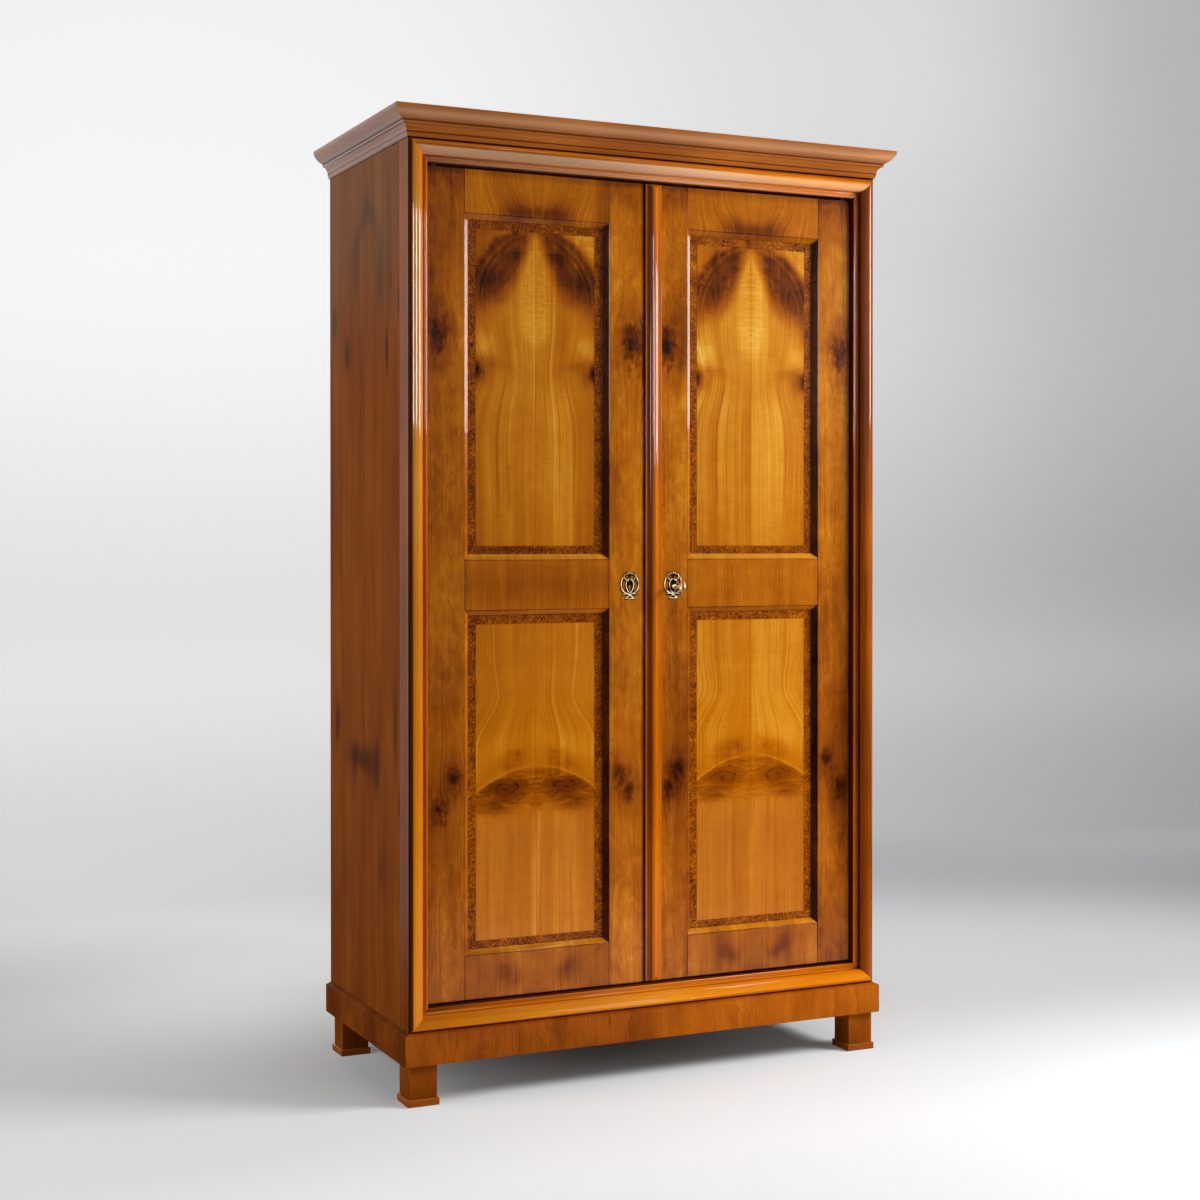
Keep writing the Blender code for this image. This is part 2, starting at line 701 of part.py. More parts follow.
def add_stile(name, side, edge, is_outer, tenon_lengths, finishes, parent):
    """A stile whose bevel and groove stop in mitres where the rails meet it."""
    face_end = opening_outer if is_outer else opening_inner
    way = -1 if is_outer else 1
    profile = [(u * way * side + side * face_end, y) for u, y in panel_edge_section(0)]
    outline = [(edge, door_front)] + profile + [(edge, door_back)]
    mesh = prism(outline, "z", door_bottom, door_top)
    piece = add_piece(name, mesh, finishes["figured_veneer"], (edge, door_front, door_bottom), parent)
    start = side * face_end
    tip = side * (face_end + way * (bevel_width + overrun))
    reach = bevel_width + overrun
    seats, mortises = [], []
    middle = (door_front + door_back) / 2
    half_slot = tenon_thickness / 2 + mortise_play
    for (low, high), length in zip((bottom_rail_z, lock_rail_z, top_rail_z), tenon_lengths):
        at_bottom = low == door_bottom
        at_top = high == door_top
        low_here = low - overrun if at_bottom else low
        high_here = high + overrun if at_top else high
        seats.append(prism([(start, low_here), (tip, low_here if at_bottom else low - reach),
                            (tip, high_here if at_top else high + reach), (start, high_here)],
                           "y", door_front - overrun, door_back + overrun))
        depth = side * (face_end - way * (length + mortise_play))
        mouth = side * (face_end + way * overrun)
        mortises.append(slab(tuple(sorted((depth, mouth))), (middle - half_slot, middle + half_slot),
                             (low + tenon_shoulder - mortise_play, high - tenon_shoulder + mortise_play)))
    shape_with(piece, merge(seats), "rail_seats")
    shape_with(piece, merge(mortises), "mortises")
    return piece


def add_panel(name, side, z_span, finishes, parent):
    """A panel flat in front, feathered behind to the tongue that fits the grooves."""
    reach = bevel_width - groove_depth + panel_play
    outer = ((side_span(side, opening_inner + reach, opening_outer - reach)),
             (z_span[0] + reach, z_span[1] - reach))
    tongue = groove_depth + seat_gap

    def ring(inset, y):
        (x_low, x_high), (z_low, z_high) = outer
        return [(x_low + inset, y, z_low + inset), (x_high - inset, y, z_low + inset),
                (x_high - inset, y, z_high - inset), (x_low + inset, y, z_high - inset)]

    mesh = bmesh.new()
    rings = [ring(0, panel_face), ring(0, panel_face + tongue_thickness),
             ring(tongue, panel_face + tongue_thickness),
             ring(tongue + feather_width, panel_face + panel_field_thickness)]
    rings = [[mesh.verts.new(point) for point in places] for places in rings]
    for near, far in zip(rings, rings[1:]):
        for index in range(4):
            after = (index + 1) % 4
            mesh.faces.new((near[index], near[after], far[after], far[index]))
    mesh.faces.new(rings[0])
    mesh.faces.new(rings[-1])
    place = (side * (opening_inner + opening_outer) / 2, panel_face, z_span[0])
    panel = add_piece(name, mesh, finishes["burl_panel"], place, parent)
    panel.data.shade_flat()


def pivot_bed(side, row, play=0.0):
    """The box that a pin plate fills in the end of an outer stile."""
    face = door_top if row == "top" else door_bottom
    into = -1 if row == "top" else 1
    run_out = overrun if play else 0
    z_span = tuple(sorted((face - into * run_out, face + into * (pivot_plate_thickness + play))))
    x_far = pivot_x - pivot_inset / 2 - pivot_plate_length / 2
    x_span = side_span(side, x_far - play, x_far + pivot_plate_length + play)
    half = pivot_plate_width / 2 + play
    return x_span, (pivot_y - half, pivot_y + half), z_span


def add_pin_plates(side, label, finishes, parent):
    """Iron plates let into the outer stile, with pins that turn in the sockets."""
    for row in ("top", "bottom"):
        x_span, y_span, z_span = pivot_bed(side, row)
        face = door_top if row == "top" else door_bottom
        out = 1 if row == "top" else -1
        gap = door_top_gap if row == "top" else door_bottom_gap
        piece = add_piece(f"{label}_pivot_{row}", slab(x_span, y_span, z_span), finishes["iron"],
                          (side * pivot_x, pivot_y, face), parent)
        root = face - out * pivot_plate_thickness / 2
        tip = face + out * (gap + pin_engagement)
        pin = prism(disc(pin_radius, (side * pivot_x, pivot_y)), "z", *sorted((root, tip)))
        shape_with(piece, pin, "pin", "UNION")
        if row == "bottom":
            bearing = prism(disc(bearing_radius, (side * pivot_x, pivot_y)), "z",
                            face - gap + seat_gap, root)
            shape_with(piece, bearing, "bearing", "UNION")


def rounded(points, steps=escutcheon_curve_steps):
    """A closed line that runs in smooth curves through the given points."""
    curve = []
    for index, point in enumerate(points):
        before, after, beyond = (points[(index + offset) % len(points)] for offset in (-1, 1, 2))
        for step in range(steps):
            t = step / steps
            curve.append(tuple(
                (2 * b + (c - a) * t + (2 * a - 5 * b + 4 * c - d) * t ** 2
                 + (3 * b - a - 3 * c + d) * t ** 3) / 2
                for a, b, c, d in zip(before, point, after, beyond)))
    return curve


def escutcheon_points(shares, mirrored, centre):
    """Shares turned into places. mirrored: +1 right half, -1 left half."""
    return [(centre[0] + mirrored * u * escutcheon_width / 2, centre[1] + v * escutcheon_height / 2)
            for u, v in shares]


def keyhole_outline(centre, play):
    """A round eye for the stem with a slot below it for the bit."""
    eye = key_stem_radius + play
    half_slot = key_bit_thickness / 2 + play / 2
    opening = math.degrees(math.asin(half_slot / eye))
    foot = centre[1] - key_bit_reach - play
    return (arc(centre, eye, -90 + opening, 270 - opening, round_steps - 4)
            + [(centre[0] - half_slot, foot), (centre[0] + half_slot, foot)])


def add_escutcheon(name, x, finishes, parent):
    """A thin brass plate in the form of a small wreath, pierced, with its keyhole."""
    centre = (x, key_height + escutcheon_lift)
    right = escutcheon_points(escutcheon_outline_shares, 1, centre)
    left = escutcheon_points(escutcheon_outline_shares[1:-1], -1, centre)
    back = door_front - seat_gap
    front = back - escutcheon_thickness
    mesh = prism(rounded(right + left[::-1]), "y", front, back)
    piece = add_piece(name, mesh, finishes["brass"], (x, front, key_height), parent)
    span = (front - overrun, back + overrun)
    openings = [prism(keyhole_outline((x, key_height), key_play), "y", *span)]
    for mirrored in (-1, 1):
        for shares in (escutcheon_eye_shares, escutcheon_crescent_shares):
            openings.append(prism(rounded(escutcheon_points(shares, mirrored, centre)), "y", *span))
    shape_with(piece, merge(openings), "openings")


def build_door(side, label, edge, inner_tenons, finishes, parent):
    """Frame, panels, pin plates and escutcheon of one door."""
    outer = add_stile(f"{label}_outer_stile", side, side * door_outer, True, [tenon_length] * 3,
                      finishes, parent)
    beds = [slab(*pivot_bed(side, row, seat_gap)) for row in ("top", "bottom")]
    shape_with(outer, merge(beds), "pivot_beds")
    inner = add_stile(f"{label}_inner_stile", side, edge, False, inner_tenons, finishes, parent)
    rails = {"bottom_rail": (bottom_rail_z, (False, True)), "lock_rail": (lock_rail_z, (True, True)),
             "top_rail": (top_rail_z, (True, False))}
    for (kind, (z_span, grooved)), inner_tenon in zip(rails.items(), inner_tenons):
        add_rail(f"{label}_{kind}", side, z_span, grooved, (inner_tenon, tenon_length), finishes, parent)
    for row, z_span in panel_rows.items():
        add_panel(f"{label}_{row}_panel", side, z_span, finishes, parent)
    add_pin_plates(side, label, finishes, parent)
    return inner


def slide_bolt_outline(play):
    """Plan of a sliding bolt: wider inside than at the door's back, so its groove holds it."""
    half_back = slide_bolt_waist / 2 + play
    half_inner = slide_bolt_width / 2 + play
    inner_y = door_back - slide_bolt_thickness - play
    outer_y = door_back - seat_gap if not play else door_back + seat_gap
    return [(slide_bolt_x - half_inner, inner_y), (slide_bolt_x + half_inner, inner_y),
            (slide_bolt_x + half_back, outer_y), (slide_bolt_x - half_back, outer_y)]


def build_slide_bolts(inner_stile, finishes):
    """Top and bottom bolts of the left door, drawn back at rest, with a finger knob each."""
    travel = slide_bolt_length + slide_bolt_throw
    grooves = [prism(slide_bolt_outline(seat_gap), "z", door_top - travel, door_top + overrun),
               prism(slide_bolt_outline(seat_gap), "z", door_bottom - overrun, door_bottom + travel)]
    shape_with(inner_stile, merge(grooves), "bolt_grooves")
    for row, end, inward in (("top", door_top, -1), ("bottom", door_bottom, 1)):
        tip = end + inward * slide_bolt_end_inset
        tail = tip + inward * slide_bolt_length
        joint = joint_empty(f"left_{row}_bolt_slide", (slide_bolt_x, door_back, end), "left_door_hinge")
        bar = prism(slide_bolt_outline(0), "z", *sorted((tip, tail)))
        piece = add_piece(f"left_{row}_bolt", bar, finishes["iron"],
                          (slide_bolt_x, door_back, end), joint)
        knob_z = tail - inward * slide_knob_distance
        knob = prism(disc(slide_knob_radius, (slide_bolt_x, knob_z)), "y",
                     door_back - slide_bolt_thickness / 2, door_back + slide_knob_length)
        shape_with(piece, knob, "knob", "UNION")


def lock_places():
    """Outer box of the lock's case, and the bolt's span in each direction."""
    case_x = (right_door_edge + seat_gap, key_x + lock_case_tail)
    case_y = (door_back - lock_case_thickness, door_back)
    case_z = (key_height - lock_case_below, key_height + lock_case_above)
    bolt_x = (right_door_edge + bolt_face_inset, case_x[1] - lock_case_wall - lock_bolt_tail_gap)
    middle = (case_y[0] + case_y[1] - lock_case_wall) / 2
    bolt_y = (middle - lock_bolt_thickness / 2, middle + lock_bolt_thickness / 2)
    bolt_z = (key_height + lock_bolt_rise, key_height + lock_bolt_rise + lock_bolt_height)
    return case_x, case_y, case_z, bolt_x, bolt_y, bolt_z


def grown(span, play):
    return (span[0] - play, span[1] + play)


def build_lock(inner_stile, left_stile, finishes):
    """The let-in lock: its bed, keyhole and mortise in the wood, the case and the bolt."""
    case_x, case_y, case_z, bolt_x, bolt_y, bolt_z = lock_places()
    bed = slab((right_door_edge - overrun, case_x[1] + seat_gap),
               (case_y[0] - seat_gap, door_back + overrun), grown(case_z, seat_gap))
    shape_with(inner_stile, bed, "lock_bed")
    keyhole = prism(keyhole_outline((key_x, key_height), key_play), "y",
                    door_front - overrun, case_y[0] + seat_gap)
    shape_with(inner_stile, keyhole, "keyhole")
    mortise = slab((left_door_edge - lock_bolt_throw - mortise_play, left_door_edge + overrun),
                   grown(bolt_y, mortise_play), grown(bolt_z, mortise_play))
    shape_with(left_stile, mortise, "lock_mortise")

    case = add_piece("lock_case", slab(case_x, case_y, case_z), finishes["iron"],
                     (key_x, case_y[1], key_height), "right_door_hinge")
    hollow = slab(grown(case_x, -lock_case_wall), (case_y[0] - overrun, case_y[1] - lock_case_wall),
                  grown(case_z, -lock_case_wall))
    shape_with(case, hollow, "hollow")
    slot = slab((case_x[0] - overrun, case_x[0] + lock_case_wall + overrun / 2), grown(bolt_y, seat_gap),
                grown(bolt_z, seat_gap))
    shape_with(case, slot, "bolt_slot")

    slide = joint_empty("lock_bolt_slide", (bolt_x[0], bolt_y[0], bolt_z[0]), "right_door_hinge")
    bolt = add_piece("lock_bolt", slab(bolt_x, bolt_y, bolt_z), finishes["iron"],
                     (bolt_x[0], bolt_y[0], bolt_z[0]), slide)
    # The key's bit swings up into this notch, also when the bolt is thrown.
    sweep = key_bit_reach + key_play
    if sweep > lock_bolt_rise:
        half_chord = math.sqrt(sweep ** 2 - lock_bolt_rise ** 2)
        notch = slab((key_x - half_chord, key_x + half_chord + lock_bolt_throw), grown(bolt_y, overrun),
                     (bolt_z[0] - overrun, key_height + sweep))
        shape_with(bolt, notch, "bit_notch")


def build_key(finishes):
    """Turned stem with a collar, a flat bit that points down, and an upright oval bow."""
    _, case_y, _, _, bolt_y, _ = lock_places()
    stem_end = bolt_y[1]
    bow_y = door_front - key_bow_distance
    stem_start = bow_y + key_bow_length / 2 - key_bow_radius
    axis = (key_x, key_height)
    joint = joint_empty("key_turn", (key_x, door_front, key_height), "right_door_hinge")
    stem = prism(disc(key_stem_radius, axis, round_steps), "y", stem_start, stem_end)
    key = add_piece("key", stem, finishes["brass"], (key_x, door_front, key_height), joint)
    collar_y = door_front - escutcheon_thickness - key_collar_standoff - key_collar_length
    collar = prism(disc(key_collar_radius, axis), "y", collar_y, collar_y + key_collar_length)
    shape_with(key, collar, "collar", "UNION")
    bit = slab((key_x - key_bit_thickness / 2, key_x + key_bit_thickness / 2),
               (stem_end - key_bit_length, stem_end), (key_height - key_bit_reach, key_height))
    shape_with(key, bit, "bit", "UNION")
    shape_with(key, bow_ring((key_x, bow_y, key_height)), "bow", "UNION")


def bow_ring(centre):
    """An oval ring of round section in the plane x = centre."""
    mesh = bmesh.new()
    around, across = round_steps, 8
    rings = []
    for step in range(around):
        angle = 2 * math.pi * step / around
        reach_y = key_bow_length / 2 - key_bow_radius
        reach_z = key_bow_height / 2 - key_bow_radius
        spine = Vector((0, reach_y * math.cos(angle), reach_z * math.sin(angle)))
        outward = Vector((0, reach_z * math.cos(angle), reach_y * math.sin(angle))).normalized()
        ring = []
        for part in range(across):
            turn = 2 * math.pi * part / across
            offset = outward * math.cos(turn) + Vector((1, 0, 0)) * math.sin(turn)
            ring.append(mesh.verts.new(Vector(centre) + spine + offset * key_bow_radius))
        rings.append(ring)
    for step in range(around):
        near, far = rings[step], rings[(step + 1) % around]
        for part in range(across):
            after = (part + 1) % across
            mesh.faces.new((near[part], near[after], far[after], far[part]))
    return mesh


def build_cover_strip(finishes):
    """Half-round strip between coves and lips. Its ends are cut back at a slope."""
    left = right_door_edge
    centre = left + strip_width / 2
    back = door_front - seat_gap
    crown_centre = back - strip_height + strip_crown_radius
    half = strip_width / 2
    cove_reach = half - strip_lip_width - strip_crown_radius
    right_half = [(half, back), (half, back - strip_lip_height),
                  (half - strip_lip_width, back - strip_lip_height)]
    lip_y = back - strip_lip_height
    rise = lip_y - crown_centre
    for step in range(1, strip_steps // 2 + 1):
        angle = math.pi / 2 * step / (strip_steps // 2)
        right_half.append((half - strip_lip_width - cove_reach * math.sin(angle),
                           lip_y - rise * (1 - math.cos(angle))))
    crown = arc((0, crown_centre), strip_crown_radius, 0, -180, strip_steps)[1:-1]
    section = right_half + crown + [(-u, y) for u, y in right_half[::-1]]
    top = door_top - strip_end_gap
    bottom = door_bottom + strip_end_gap

    def ends(level, way):
        return lambda u, y: (centre + u, y, level + way * (back - y))

    mesh = loft(section, ends(bottom, 1), ends(top, -1))
    add_piece("cover_strip", mesh, finishes["moulding"], (centre, back, door_bottom), "right_door_hinge")


def build_doors(finishes):
    joint_empty("left_door_hinge", (-pivot_x, pivot_y, door_bottom))
    joint_empty("right_door_hinge", (pivot_x, pivot_y, door_bottom))
    left_stile = build_door(-1, "left", left_door_edge, [tenon_length] * 3, finishes, "left_door_hinge")
    right_tenons = [tenon_length, lock_tenon_length, tenon_length]
    right_stile = build_door(1, "right", right_door_edge, right_tenons, finishes, "right_door_hinge")
    add_escutcheon("left_escutcheon", left_keyhole_x, finishes, "left_door_hinge")
    add_escutcheon("right_escutcheon", key_x, finishes, "right_door_hinge")
    build_slide_bolts(left_stile, finishes)
    build_lock(right_stile, left_stile, finishes)
    build_key(finishes)
    build_cover_strip(finishes)


def build_wardrobe():
    clear_scene()
    finishes = make_finishes()
    build_feet(finishes)
    build_plinth(finishes)
    build_sides(finishes)
    build_case_boards(finishes)
    build_back(finishes)
    build_inside(finishes)
    build_frame(finishes)
    build_sockets(finishes)
    build_cornice(finishes)
    build_doors(finishes)


build_wardrobe()
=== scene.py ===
# %% [markdown]
# # A polished two-door wardrobe
#
# This lesson dresses the frame of a veneered wardrobe. The frame gives every board, hinge and
# bolt at its real place and size. Here the mouldings, brass and key become finer meshes, and
# every surface gets a finish that is worked out by nodes: figured veneer, burl, polished
# mouldings, plain softwood, brass and iron.

# %% Load the frame
import json
import math

import bmesh
import bpy
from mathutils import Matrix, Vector

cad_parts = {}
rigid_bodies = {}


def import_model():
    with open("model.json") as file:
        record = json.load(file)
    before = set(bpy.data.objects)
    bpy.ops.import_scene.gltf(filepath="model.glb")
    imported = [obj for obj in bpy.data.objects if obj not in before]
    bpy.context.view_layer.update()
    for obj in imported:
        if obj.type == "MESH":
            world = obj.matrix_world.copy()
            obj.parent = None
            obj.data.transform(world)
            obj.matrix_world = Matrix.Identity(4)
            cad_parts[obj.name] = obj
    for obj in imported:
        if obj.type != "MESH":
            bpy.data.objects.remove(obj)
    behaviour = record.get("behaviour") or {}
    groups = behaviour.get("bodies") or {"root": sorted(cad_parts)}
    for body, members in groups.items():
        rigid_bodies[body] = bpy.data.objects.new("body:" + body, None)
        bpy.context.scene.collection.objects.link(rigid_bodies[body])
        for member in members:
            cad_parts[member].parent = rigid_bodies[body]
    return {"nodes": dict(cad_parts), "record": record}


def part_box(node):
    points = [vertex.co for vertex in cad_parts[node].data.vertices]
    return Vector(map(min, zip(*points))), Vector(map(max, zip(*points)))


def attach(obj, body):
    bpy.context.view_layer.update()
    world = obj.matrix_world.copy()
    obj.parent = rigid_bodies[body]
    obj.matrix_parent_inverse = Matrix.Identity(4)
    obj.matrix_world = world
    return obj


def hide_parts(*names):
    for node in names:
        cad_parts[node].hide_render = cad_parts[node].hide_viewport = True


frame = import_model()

for starter in ("Cube", "Light", "Camera"):
    if starter in bpy.data.objects:
        bpy.data.objects.remove(bpy.data.objects[starter], do_unlink=True)
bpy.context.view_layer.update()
nodes = frame["nodes"]

# %% [markdown]
# ## The camera
#
# The photograph was taken from the left of the wardrobe's middle, at about chest height, with
# a lens a little longer than normal. The vertical edges stay upright in it, so the camera
# looked almost level. A small shift down keeps the feet in the picture instead of a tilt.

# %% Camera
mm_per_metre = 1000
sensor_width = 0.036
picture_pixels = 1200
focal_pixels = 1964.35
nearest_seen = 0.01
camera_place = Vector((-1.7734, -3.7539, 1.0787))
camera_yaw = math.radians(-25.142)
camera_pitch = math.radians(-0.460)
picture_shift = -0.0365

lens_data = bpy.data.cameras.new("photographer")
lens_data.sensor_width = sensor_width * mm_per_metre
lens_data.lens = focal_pixels / picture_pixels * sensor_width * mm_per_metre
lens_data.shift_y = picture_shift
lens_data.clip_start = nearest_seen
photographer = bpy.data.objects.new("photographer", lens_data)
photographer.location = camera_place
photographer.rotation_euler = (math.pi / 2 + camera_pitch, 0, camera_yaw)
bpy.context.collection.objects.link(photographer)
bpy.context.scene.camera = photographer
print("lens", round(lens_data.lens, 2), "mm")

# %% [markdown]
# ## The studio
#
# French polish shows its surroundings, so the studio matters as much as the wood. A pale floor
# sweeps up into a wall without a corner, like a roll of photographer's paper. Because there is
# no corner, the picture has no line behind the wardrobe.

# %% Floor and wall in one sweep
sweep_reach = 7.0
sweep_front = -9.0
sweep_back = 3.6
sweep_radius = 1.5
sweep_height = 6.0
sweep_steps = 24


def floor_sweep():
    """A floor that turns up into a back wall along a quarter circle."""
    profile = [(sweep_front, 0.0)]
    for step in range(sweep_steps + 1):
        angle = math.pi / 2 * step / sweep_steps
        profile.append((sweep_back - sweep_radius * (1 - math.sin(angle)),
                        sweep_radius * (1 - math.cos(angle))))
    profile.append((sweep_back, sweep_height))
    mesh = bmesh.new()
    rows = [[mesh.verts.new((side * sweep_reach, y, z)) for y, z in profile] for side in (-1, 1)]
    for near in range(len(profile) - 1):
        mesh.faces.new((rows[0][near], rows[1][near], rows[1][near + 1], rows[0][near + 1]))
    data = bpy.data.meshes.new("studio_sweep")
    mesh.to_mesh(data)
    mesh.free()
    data.shade_smooth()
    sweep = bpy.data.objects.new("studio_sweep", data)
    bpy.context.collection.objects.link(sweep)
    return sweep


studio_sweep = floor_sweep()
print("sweep", 2 * sweep_reach, "m wide")

# %% [markdown]
# ## Lamps
#
# One tall window stands to the right and lights the doors at a slant. The ceiling, left, floor
# and back lamps fill the rest. Three more windows don't light anything: they are only mirrored
# in the polish, and draw the white lines down the mouldings, bevels and cover strip. With light
# and mirror image apart, the wood's brightness and the lines can be set one by one.

# %% Lamps
def soft_lamp(name, place, target, width, height, brightness, colour=(1, 1, 1), only=None):
    """A flat lamp that looks at a point. brightness is what a camera facing it would read.

    only="shine" makes a lamp that is just mirrored in the polish, only="light" one that isn't.
    """
    data = bpy.data.lights.new(name, "AREA")
    data.shape = "RECTANGLE"
    data.size = width
    data.size_y = height
    data.energy = brightness * math.pi * width * height
    data.color = colour
    lamp = bpy.data.objects.new(name, data)
    lamp.location = place
    lamp.rotation_euler = (Vector(target) - Vector(place)).to_track_quat("-Z", "Y").to_euler()
    lamp.visible_camera = False
    lamp.visible_diffuse = only != "shine"
    lamp.visible_glossy = only != "light"
    bpy.context.collection.objects.link(lamp)
    return lamp


lamp_plan = {
    "window_lamp": dict(place=(2.30, -1.50, 1.83), target=(0.0, -0.25, 1.25), width=1.35,
                        height=0.76, brightness=27.0, colour=(1.0, 0.995, 0.985), only="light"),
    "right_window": dict(place=(2.156, -1.764, 1.83), target=(-0.144, -0.514, 1.25), width=0.78,
                         height=0.76, brightness=24.0, only="shine"),
    "left_window": dict(place=(-2.61, -2.32, 1.84), target=(-0.5, -0.2, 1.35), width=0.85,
                        height=0.74, brightness=18.0, only="shine"),
    "front_window": dict(place=(-0.43, -3.24, 1.84), target=(-0.5, -0.2, 1.35), width=0.85,
                         height=0.74, brightness=18.0, only="shine"),
    "ceiling_lamp": dict(place=(0.7, -2.1, 4.0), target=(0.1, -0.1, 0.9), width=3.4, height=2.4,
                         brightness=1.35, colour=(0.97, 0.985, 1.0)),
    "left_lamp": dict(place=(-3.6, -0.2, 1.6), target=(-0.5, 0.0, 0.9), width=2.6, height=2.6,
                      brightness=2.75, only="light"),
    "floor_lamp": dict(place=(0.6, -0.64, 0.01), target=(0.6, -0.64, 1.0), width=2.6,
                       height=0.40, brightness=3.2, only="light"),
    "back_lamp": dict(place=(0.3, 2.6, 1.7), target=(0.0, 0.26, 1.0), width=2.6, height=2.2,
                      brightness=2.6, only="light"),
}
lamps = {name: soft_lamp(name, **plan) for name, plan in lamp_plan.items()}
print("lamps", list(lamps))

# %% [markdown]
# ## Sky
#
# Past the paper there is only the sky. The camera sees it as pale as the paper, so no view ends
# in a dark edge. In the polish it is nearly dark, or it would wash the colour out of the doors,
# and it lights the wood very little. The Light Path node tells these three uses apart.

# %% Sky
sky_colour = (0.98, 0.985, 1.0, 1.0)
sky_seen = 0.62
sky_mirrored = 0.03
sky_least = 0.04

sky = bpy.data.worlds.new("studio_sky")
sky.use_nodes = True
sky_tree = sky.node_tree
backdrop = sky_tree.nodes["Background"]
backdrop.inputs["Color"].default_value = sky_colour
ray = sky_tree.nodes.new("ShaderNodeLightPath").outputs


def sky_sum(operation, *values):
    """A Math node in the sky. The values are numbers or sockets."""
    node = sky_tree.nodes.new("ShaderNodeMath")
    node.operation = operation
    for place, value in enumerate(values):
        if isinstance(value, bpy.types.NodeSocket):
            sky_tree.links.new(value, node.inputs[place])
        else:
            node.inputs[place].default_value = value
    return node.outputs[0]


looked_at = sky_sum("MAXIMUM", ray["Is Camera Ray"], ray["Is Transmission Ray"])
looked_at = sky_sum("MULTIPLY_ADD", ray["Is Glossy Ray"], sky_mirrored, looked_at)
sky_tree.links.new(sky_sum("MULTIPLY_ADD", looked_at, sky_seen, sky_least),
                   backdrop.inputs["Strength"])
bpy.context.scene.world = sky
bpy.context.scene.view_settings.view_transform = "Standard"
print("sky nodes", len(sky_tree.nodes))

# %% [markdown]
# ## Fields: figure written as arithmetic
#
# Real veneer has a figure: stripes, flames, knots, a crotch. Each can be written as a formula
# in metres, such as how far a point lies from the seam. Shader nodes can work such formulas
# out, but a long chain of nodes is hard to read. The small class below lets ordinary sums do
# it: each plus or times adds one Math node. The place is the object's own coordinate, so the
# figure moves with its door.

# %% The Field class
class Field:
    """A number that varies over a surface. Arithmetic on it adds Math nodes to its finish."""

    def __init__(self, finish, socket):
        self.finish = finish
        self.socket = socket

    def join(self, operation, *others):
        """Adds one Math node that takes this field and the others."""
        node = self.finish.add("ShaderNodeMath")
        node.operation = operation
        for place, value in enumerate((self,) + others):
            self.finish.plug(value, node.inputs[place])
        return Field(self.finish, node.outputs[0])

    def __add__(self, other):
        return self.join("ADD", other)

    def __sub__(self, other):
        return self.join("SUBTRACT", other)

    def __mul__(self, other):
        return self.join("MULTIPLY", other)

    def __truediv__(self, other):
        return self.join("DIVIDE", other)

    def __pow__(self, other):
        return self.join("POWER", other)

    def __neg__(self):
        return self.join("MULTIPLY", -1)

    def __rsub__(self, other):
        return self.join("MULTIPLY_ADD", -1, other)

    def __abs__(self):
        return self.join("ABSOLUTE")

    __radd__ = __add__
    __rmul__ = __mul__

    def least(self, other):
        """The smaller of two."""
        return self.join("MINIMUM", other)

    def most(self, other):
        """The greater of two."""
        return self.join("MAXIMUM", other)

    def above(self, level):
        """1 above the level, 0 below it, without a step between."""
        return self.join("GREATER_THAN", level)

    def sine(self):
        return self.join("SINE")

    def rise(self, low, high):
        """0 below low, 1 above high, with a smooth step between."""
        node = self.finish.add("ShaderNodeMapRange")
        node.interpolation_type = "SMOOTHSTEP"
        for name, value in (("Value", self), ("From Min", low), ("From Max", high)):
            self.finish.plug(value, node.inputs[name])
        return Field(self.finish, node.outputs["Result"])

    def hump(self, centre, width):
        """1 at the centre, fading on both sides like a soft brush stroke."""
        away = (self - centre) / width
        return (away * away).join("MULTIPLY", -1).join("EXPONENT")


print("a Field can", [name for name in vars(Field) if not name.startswith("_")])

# %% [markdown]
# ## Finishes
#
# A finish is one material. It starts with the place on the surface, reads noise there, turns a
# tone from dark to pale into the colour of polished wood, and ends in one shader. French
# polish is a thin clear coat with a soft wave in it, so the shader has a coat, and a bump that
# is worked out from long gentle waves and from the open grain.

# %% The Finish class
millimetre = 0.001


def tint(red, green, blue):
    """A colour as a paint chart gives it, 0 to 255, turned into the light it sends back."""
    parts = []
    for level in (red, green, blue):
        share = level / 255
        parts.append(share / 12.92 if share <= 0.04045 else ((share + 0.055) / 1.055) ** 2.4)
    return (*parts, 1.0)


